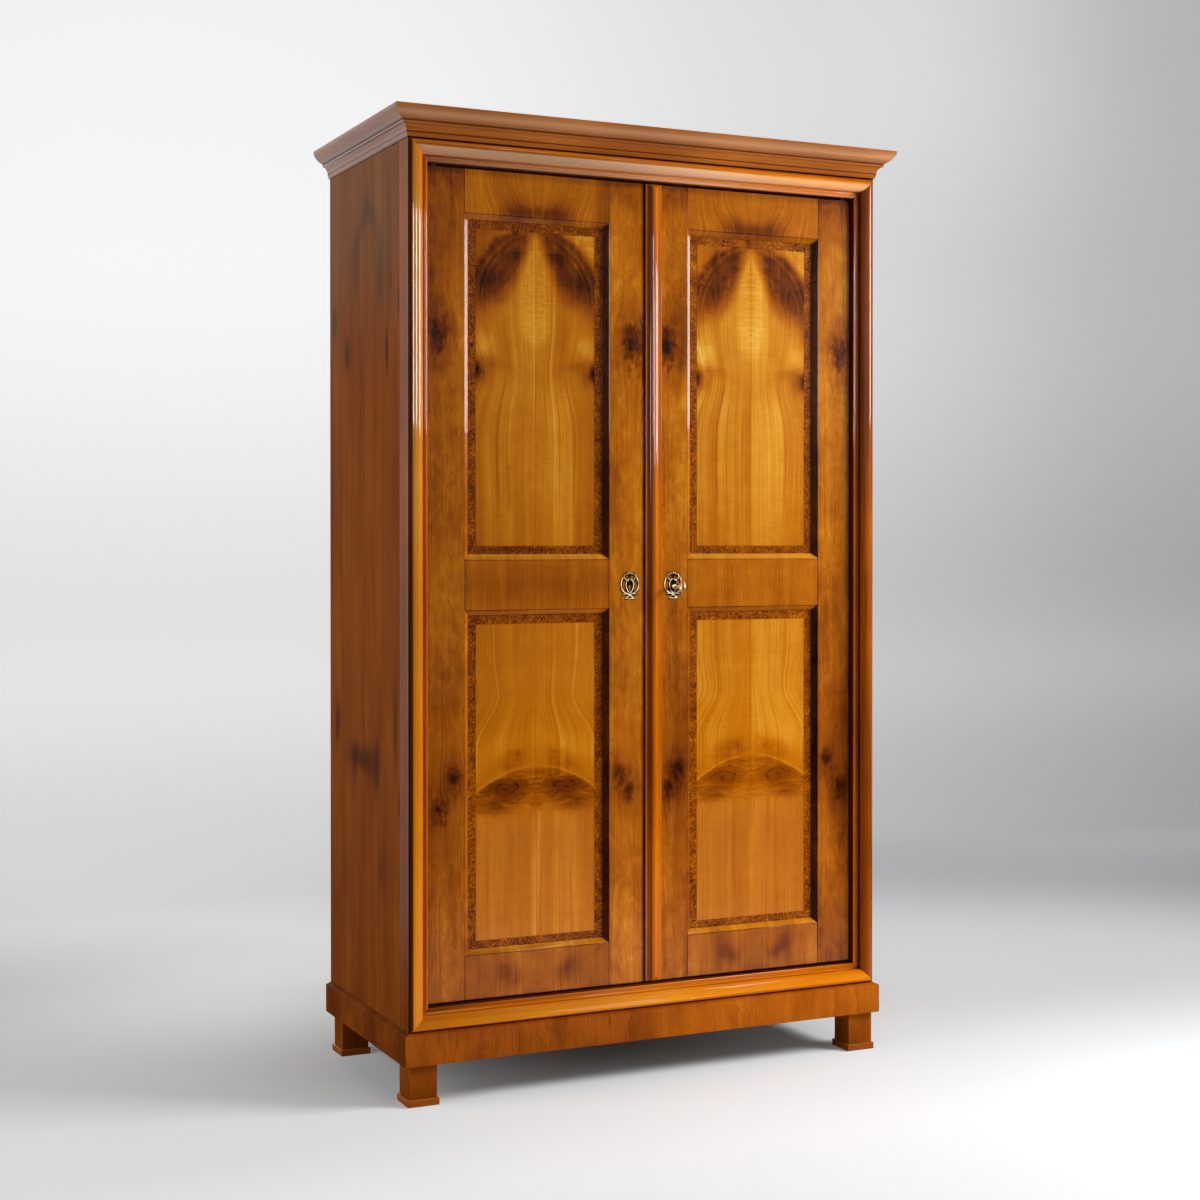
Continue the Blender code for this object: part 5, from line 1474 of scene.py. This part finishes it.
def strip_section():
    """Points (sideways from the strip's middle, y) of the strip."""
    half = (strip_high.x - strip_low.x) / 2
    crown_centre = strip_low.y + strip_crown_radius
    lip = strip_back - strip_lip_height
    cove_reach = half - strip_lip_width - strip_crown_radius
    right = [(half, strip_back)]
    right += arc((half - strip_lip_round, lip + strip_lip_round), strip_lip_round, 0, -90,
                 corner_steps)
    right.append((half - strip_lip_width, lip))
    for step in range(1, strip_cove_steps + 1):
        turn = math.pi / 2 * step / strip_cove_steps
        right.append((half - strip_lip_width - cove_reach * math.sin(turn),
                      lip - (lip - crown_centre) * (1 - math.cos(turn))))
    crown = arc((0, crown_centre), strip_crown_radius, 0, -180, strip_crown_steps)[1:-1]
    return right + crown + [(-a, b) for a, b in right[::-1]]


def strip_end(level, way):
    """Places the section at an end that slopes back at 45 degrees."""
    return lambda a, b: (strip_middle + a, b, level + way * (strip_back - b))


dress("cover_strip_moulding",
      run_between(strip_section(), strip_end(strip_low.z, 1), strip_end(strip_high.z, -1)),
      moulding_finishes["strip"], "cover_strip")
print("strip section", len(strip_section()), "points")

# %% [markdown]
# ## Boards with eased edges
#
# A maker takes the sharp edge off every board with a few strokes of sandpaper. The helper
# below takes a board from the frame, joins its corners, and cuts a narrow round on each outer
# edge. Where a board's joints are too fine for that, the board keeps its own edges.

# %% Ease a board's edges
ease_segments = 2
least_arris = math.radians(30)
flat_angle = math.radians(1)
same_place = 0.00001
most_lost = 0.05
door_arris = 0.0006
pad_arris = 0.0007
case_arris = 0.0008
inside_arris = 0.0010
shelf_arris = 0.0015


def eased(node, finish, width, keep=None):
    """A copy of a frame board with rounded arrises. keep says which edges to round."""
    mesh = bmesh.new()
    mesh.from_mesh(nodes[node].data)
    bmesh.ops.remove_doubles(mesh, verts=mesh.verts, dist=same_place)
    bmesh.ops.dissolve_limit(mesh, angle_limit=flat_angle, verts=mesh.verts, edges=mesh.edges)
    before = abs(mesh.calc_volume())
    chosen = [edge for edge in mesh.edges if len(edge.link_faces) == 2
              and edge.calc_face_angle_signed(0) > least_arris
              and edge.calc_length() > width * 4 and (keep is None or keep(edge))]
    bmesh.ops.bevel(mesh, geom=chosen, offset=width, segments=ease_segments, profile=0.5,
                    affect="EDGES", clamp_overlap=False)
    whole = all(len(edge.link_faces) == 2 for edge in mesh.edges)
    lost = 1 - abs(mesh.calc_volume()) / before
    if not whole or not 0 <= lost < most_lost:
        print("kept the plain edges of", node, whole, round(lost, 4))
        mesh.free()
        finish_node(node, finish)
        return
    dress(f"{node}_board", mesh, finish, node)


def front_edges(node):
    """Chooses the edges on a board's front plane."""
    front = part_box(node)[0].y

    def choose(edge):
        return all(vert.co.y < front + 2 * same_place for vert in edge.verts)
    return choose


for label in ("front_left", "front_right", "rear_left", "rear_right"):
    eased(f"foot_{label}", plinth_finishes["foot"], inside_arris)
    eased(f"pad_{label}", moulding_finishes["pad"], pad_arris)
eased("plinth_front", plinth_finishes["front"], case_arris)
for label in ("left", "right"):
    eased(f"plinth_{label}", plinth_finishes["side"], case_arris)
    eased(f"side_{label}", side_finish, case_arris)
    for member in ("outer_stile", "inner_stile"):
        node = f"{label}_{member}"
        eased(node, stile_finish, door_arris, front_edges(node))
    for member in ("bottom_rail", "lock_rail", "top_rail"):
        node = f"{label}_{member}"
        eased(node, rail_finish, door_arris, front_edges(node))
    finish_node(f"{label}_upper_panel", upper_panel_finish)
    finish_node(f"{label}_lower_panel", lower_panel_finish)
eased("plinth_back", pine_finishes["x"], inside_arris)
eased("hat_shelf", pine_finishes["x"], shelf_arris)
for node in ("floor_board", "top_board"):
    finish_node(node, pine_finishes["x"])
for number in (1, 2, 3):
    finish_node(f"back_board_{number}", pine_finishes["z"])
for label in ("left", "right"):
    eased(f"shelf_cleat_{label}", pine_finishes["y"], inside_arris)
for node in sorted(nodes):
    if "pivot" in node or "bolt" in node or node == "lock_case":
        finish_node(node, iron_finish)
print("dressed", len(dressed), "pieces")

# %% [markdown]
# ## Escutcheons
#
# Each keyhole has a thin pierced wreath of brass: two arms cross at the bottom, a small lyre
# holds the keyhole, and a crown of beads sits on top. Here the frame's plate gives the pierced
# ground, and half-round wires are laid on it along smooth curves. Each curve goes through a few
# points, given as shares of the plate's half width and half height, so that it fits any plate.

# %% Wires along a path
wire_sides = 12
path_steps = 6
bead_rows = 6


def smooth_path(points):
    """An open curve that passes through every point."""
    places = [Vector(point) for point in points]
    last = len(places) - 1
    curve = []
    for start in range(last):
        before, first, second, after = (places[min(max(start + shift, 0), last)]
                                        for shift in (-1, 0, 1, 2))
        for step in range(path_steps):
            t = step / path_steps
            curve.append(0.5 * (2 * first + (second - before) * t
                                + (2 * before - 5 * first + 4 * second - after) * t * t
                                + (3 * first - before - 3 * second + after) * t ** 3))
    return curve + [places[-1]]


def lay_wire(mesh, path, radius, normal, closed=False, flat=1.0, taper=1.0):
    """Adds a wire along a path that lies in the plane with this normal.

    flat is its height as a share of its width, taper the width of its ends as a share.
    """
    rings = []
    last = len(path) - 1
    for place, centre in enumerate(path):
        ahead = path[(place + 1) % len(path)] if closed or place < last else centre
        behind = path[place - 1] if closed or place > 0 else centre
        side = (ahead - behind).cross(normal).normalized()
        width = radius if closed else radius * (1 - (1 - taper) * abs(2 * place / last - 1) ** 2)
        ring = []
        for step in range(wire_sides):
            turn = 2 * math.pi * step / wire_sides
            ring.append(mesh.verts.new(centre + side * width * math.cos(turn)
                                       + normal * width * flat * math.sin(turn)))
        rings.append(ring)
    for place in range(len(rings) if closed else last):
        near, far = rings[place], rings[(place + 1) % len(rings)]
        for step in range(wire_sides):
            after = (step + 1) % wire_sides
            mesh.faces.new((near[step], near[after], far[after], far[step]))
    if not closed:
        mesh.faces.new(rings[0])
        mesh.faces.new(rings[-1][::-1])


def lay_bead(mesh, centre, radius):
    """Adds a round bead."""
    rings = []
    for row in range(1, bead_rows):
        tilt = math.pi * row / bead_rows
        ring = []
        for step in range(wire_sides):
            turn = 2 * math.pi * step / wire_sides
            way_out = Vector((math.sin(tilt) * math.cos(turn), -math.cos(tilt),
                              math.sin(tilt) * math.sin(turn)))
            ring.append(mesh.verts.new(Vector(centre) + radius * way_out))
        rings.append(ring)
    ends = [mesh.verts.new(Vector(centre) + Vector((0, way * radius, 0))) for way in (-1, 1)]
    for near, far in zip(rings, rings[1:]):
        for step in range(wire_sides):
            after = (step + 1) % wire_sides
            mesh.faces.new((near[step], near[after], far[after], far[step]))
    for ring, end in ((rings[0], ends[0]), (rings[-1], ends[1])):
        for step in range(wire_sides):
            mesh.faces.new((ring[step], ring[(step + 1) % wire_sides], end))


print("wire of", wire_sides, "sides")

# %% Escutcheons
plate_low, plate_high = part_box("left_escutcheon")
plate_half_width = (plate_high.x - plate_low.x) / 2
plate_half_height = (plate_high.z - plate_low.z) / 2
ground_thickness = 0.0007
wire_radius = 0.00122
arm_shares = [(0.55, 0.74), (0.80, 0.52), (0.93, 0.18), (0.90, -0.16), (0.66, -0.42),
              (0.20, -0.58), (-0.18, -0.74), (-0.44, -0.92)]
lyre_shares = [(0.05, 0.52), (0.26, 0.42), (0.40, 0.16), (0.36, -0.14), (0.18, -0.40),
               (0.00, -0.56)]
leaf_shares = [(0.24, -0.54), (0.50, -0.58), (0.76, -0.60)]
brow_shares = [(0.00, 0.54), (0.24, 0.40), (0.50, 0.50), (0.60, 0.70)]
bead_shares = [(0.0, 0.93), (0.20, 0.91), (0.38, 0.86), (0.56, 0.80)]
bead_size = 1.35
foot_shares = [(-0.40, -0.93), (0.0, -0.90), (0.40, -0.93)]
wire_plan = [(arm_shares, 1.0), (lyre_shares, 0.75), (leaf_shares, 0.8), (brow_shares, 0.6)]


def escutcheon(label):
    """The pierced plate, thinned, with its wires and beads. The middle bead is laid once."""
    low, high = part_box(f"{label}_escutcheon")
    middle = (low + high) / 2
    mesh = bmesh.new()
    mesh.from_mesh(nodes[f"{label}_escutcheon"].data)
    wire_level = high.y - ground_thickness
    for vert in mesh.verts:
        if vert.co.y < middle.y:
            vert.co.y = wire_level
    out = Vector((0, 1, 0))

    def place(share, way):
        return (middle.x + way * share[0] * plate_half_width, wire_level,
                middle.z + share[1] * plate_half_height)

    for way in (-1, 1):
        for shares, width in wire_plan:
            path = smooth_path([place(share, way) for share in shares])
            lay_wire(mesh, path, wire_radius * width, out, flat=0.9, taper=0.55)
        for share in bead_shares[0 if way > 0 else 1:]:
            lay_bead(mesh, place(share, way), wire_radius * bead_size)
    path = smooth_path([place(share, 1) for share in foot_shares])
    lay_wire(mesh, path, wire_radius, out, flat=0.8, taper=0.5)
    dress(f"{label}_escutcheon_wreath", mesh, brass_finish, f"{label}_escutcheon")


for label in ("left", "right"):
    escutcheon(label)
print("wires per escutcheon", 2 * len(wire_plan) + 1)

# %% [markdown]
# ## Key
#
# The key is filed from one piece: an oval bow to hold it by, a turned stem with two rings, and a
# bit whose notches pass the wards of the lock. The bow is a closed wire, the stem a profile
# turned about its axis, and the bit a flat outline with a thickness.

# %% Key
key_low, key_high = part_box("key")
key_x = (key_low.x + key_high.x) / 2
bow_height = 0.026
bow_length = 0.024
key_height = key_high.z - bow_height / 2
bow_wire = 0.0021
stem_radius = 0.003
collar_radius = 0.0046
ring_radius = stem_radius * 1.35
stem_sides = 28
bow_steps = 40
step_width = 0.0001
ring_corner = 0.0005
stem_end_share = 0.7


def turned(mesh, profile):
    """Adds a turned rod along Y. profile is a list of (y, radius)."""
    turns = [2 * math.pi * step / stem_sides for step in range(stem_sides)]
    rings = [[mesh.verts.new((key_x + radius * math.cos(turn), y,
                              key_height + radius * math.sin(turn))) for turn in turns]
             for y, radius in profile]
    for near, far in zip(rings, rings[1:]):
        for step in range(stem_sides):
            after = (step + 1) % stem_sides
            mesh.faces.new((near[step], near[after], far[after], far[step]))
    mesh.faces.new(rings[0])
    mesh.faces.new(rings[-1][::-1])


def turned_ring(front, back, radius):
    """A ring with softened corners, as profile points."""
    return [(front, radius - ring_corner), (front + ring_corner, radius),
            (back - ring_corner, radius), (back, radius - ring_corner)]


bow_middle = key_low.y + bow_length / 2
stem_start = key_low.y + bow_length - bow_wire
ring_front = stem_start + 0.0015
ring_back = stem_start + 0.0035
collar_clear = 0.003
collar_thickness = 0.003
collar_back = plate_low.y - collar_clear
collar_front = collar_back - collar_thickness
bit_length = 0.006
bit_reach = 0.014
bit_half = 0.00125
bit_shares = [(0.0, 0.0), (0.0, 1.0), (0.30, 1.0), (0.30, 0.72), (0.50, 0.72), (0.50, 1.0),
              (1.0, 1.0), (1.0, 0.0)]
mesh = bmesh.new()
bow_path = []
for step in range(bow_steps):
    turn = 2 * math.pi * step / bow_steps
    bow_path.append(Vector((key_x, bow_middle + (bow_length / 2 - bow_wire) * math.cos(turn),
                            key_height + (bow_height / 2 - bow_wire) * math.sin(turn))))
lay_wire(mesh, bow_path, bow_wire, Vector((1, 0, 0)), closed=True)
turned(mesh, [(stem_start, stem_radius * stem_end_share)]
       + turned_ring(ring_front, ring_back, ring_radius)
       + [(ring_back + step_width, stem_radius), (collar_front - step_width, stem_radius)]
       + turned_ring(collar_front, collar_back, collar_radius)
       + [(collar_back + step_width, stem_radius), (key_high.y, stem_radius)])
sides = [[mesh.verts.new((key_x + way * bit_half, key_high.y - bit_length * (1 - along),
                          key_height - bit_reach * reach)) for along, reach in bit_shares]
         for way in (-1, 1)]
for near in range(len(bit_shares)):
    far = (near + 1) % len(bit_shares)
    mesh.faces.new((sides[0][near], sides[0][far], sides[1][far], sides[1][near]))
mesh.faces.new(sides[0])
mesh.faces.new(sides[1][::-1])
dress("key_turned", mesh, brass_finish, "key")
print("key", round(key_high.y - key_low.y, 4), "m long")

# %% [markdown]
# ## Rail, screws and nails
#
# The clothes rail is a turned rod, so it gets more sides than its plain stand-in. Four screws
# hold the lock case, and nails hold the back boards to the plinth, the shelf and the top. They
# are trim: each rides on the piece that it holds. A screw's slot could be cut with a Boolean,
# but two half domes with a gap between them look the same and need fewer faces.

# %% Clothes rail
rail_box_low, rail_box_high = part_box("clothes_rail")
rail_radius = (rail_box_high.z - rail_box_low.z) / 2
rail_middle = (rail_box_low + rail_box_high) / 2
rail_sides = 40
rail_section = [(rail_radius * math.cos(2 * math.pi * step / rail_sides),
                 rail_radius * math.sin(2 * math.pi * step / rail_sides))
                for step in range(rail_sides)]


def rail_end(x):
    """Places the round section at one end of the rail."""
    return lambda a, b: (x, rail_middle.y + a, rail_middle.z + b)


dress("clothes_rail_turned", run_between(rail_section, rail_end(rail_box_low.x),
                                         rail_end(rail_box_high.x)),
      moulding_finishes["pad"], "clothes_rail")
print("rail radius", round(rail_radius, 4), "m")

# %% Screws and nails
head_rows = [(1.0, 0.0), (0.96, 0.45), (0.80, 0.80), (0.50, 0.96)]
nail_sides = 20
slot_sides = 11
slot_share = 0.09
screw_inset = 0.007
screw_radius = 0.0030
screw_height = 0.0008
nail_radius = 0.0021
nail_height = 0.00003
nail_wander = 0.002
nail_wander_turn = 70
slot_turn_x, slot_turn_z = 90, 40
nail_shares = (0.12, 0.5, 0.88)
nail_above_plinth = 0.035
nail_above_shelf = 0.008
nail_above_top_board = 0.010


def dome(mesh, centre, radius, height, first, last, steps, count):
    """Adds a low domed head, or half of one, that faces along +Y, between two angles."""
    rings = []
    for share, rise in head_rows:
        rings.append([mesh.verts.new(centre + Vector((radius * share * math.cos(turn), height * rise,
                                                      radius * share * math.sin(turn))))
                      for turn in (first + (last - first) * step / steps for step in range(count))])
    for near, far in zip(rings, rings[1:]):
        for step in range(min(steps, count)):
            after = (step + 1) % count
            mesh.faces.new((near[step], near[after], far[after], far[step]))
    mesh.faces.new(rings[-1])
    mesh.faces.new(rings[0][::-1])
    return rings


def nail_head(mesh, centre):
    """A nail driven nearly flush."""
    dome(mesh, Vector(centre), nail_radius, nail_height, 0, 2 * math.pi, nail_sides, nail_sides)


def screw_head(mesh, centre, slot_turn):
    """Two half domes stand a little apart, and the gap between them is the slot."""
    for first in (slot_turn, slot_turn + math.pi):
        middle = first + math.pi / 2
        shift = Vector((math.cos(middle), 0, math.sin(middle))) * (screw_radius * slot_share)
        rings = dome(mesh, Vector(centre) + shift, screw_radius, screw_height, first,
                     first + math.pi, slot_sides, slot_sides + 1)
        mesh.faces.new([ring[0] for ring in rings] + [ring[-1] for ring in rings[::-1]])


lock_low, lock_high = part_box("lock_case")
mesh = bmesh.new()
for x in (lock_low.x + screw_inset, lock_high.x - screw_inset):
    for z in (lock_low.z + screw_inset, lock_high.z - screw_inset):
        screw_head(mesh, (x, lock_high.y, z), x * slot_turn_x + z * slot_turn_z)
dress("lock_screws", mesh, iron_finish, body="right_door")
nail_rows = [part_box("plinth_back")[1].z + nail_above_plinth,
             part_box("hat_shelf")[0].z + nail_above_shelf,
             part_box("top_board")[0].z + nail_above_top_board]
mesh = bmesh.new()
for number in (1, 2, 3):
    board_low, board_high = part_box(f"back_board_{number}")
    for z in nail_rows:
        for share in nail_shares:
            x = board_low.x + (board_high.x - board_low.x) * share
            rise = nail_wander * math.sin(x * nail_wander_turn)
            nail_head(mesh, (x, board_high.y, z + rise))
dress("back_nails", mesh, iron_finish, body="carcass")
print("nails", 3 * len(nail_shares) * len(nail_rows))

# %% [markdown]
# ## Light for the back
#
# The wall would hide the back from a lamp, and a lamp in front of the wall would paint a bright
# patch on the floor. So the back lamp is linked to the wardrobe's own pieces: it lights them
# and nothing else.

# %% Light for the back
back_pieces = bpy.data.collections.new("lit_from_behind")
for piece in bpy.context.scene.objects:
    if piece.type == "MESH" and piece != studio_sweep:
        back_pieces.objects.link(piece)
lamps["back_lamp"].light_linking.receiver_collection = back_pieces
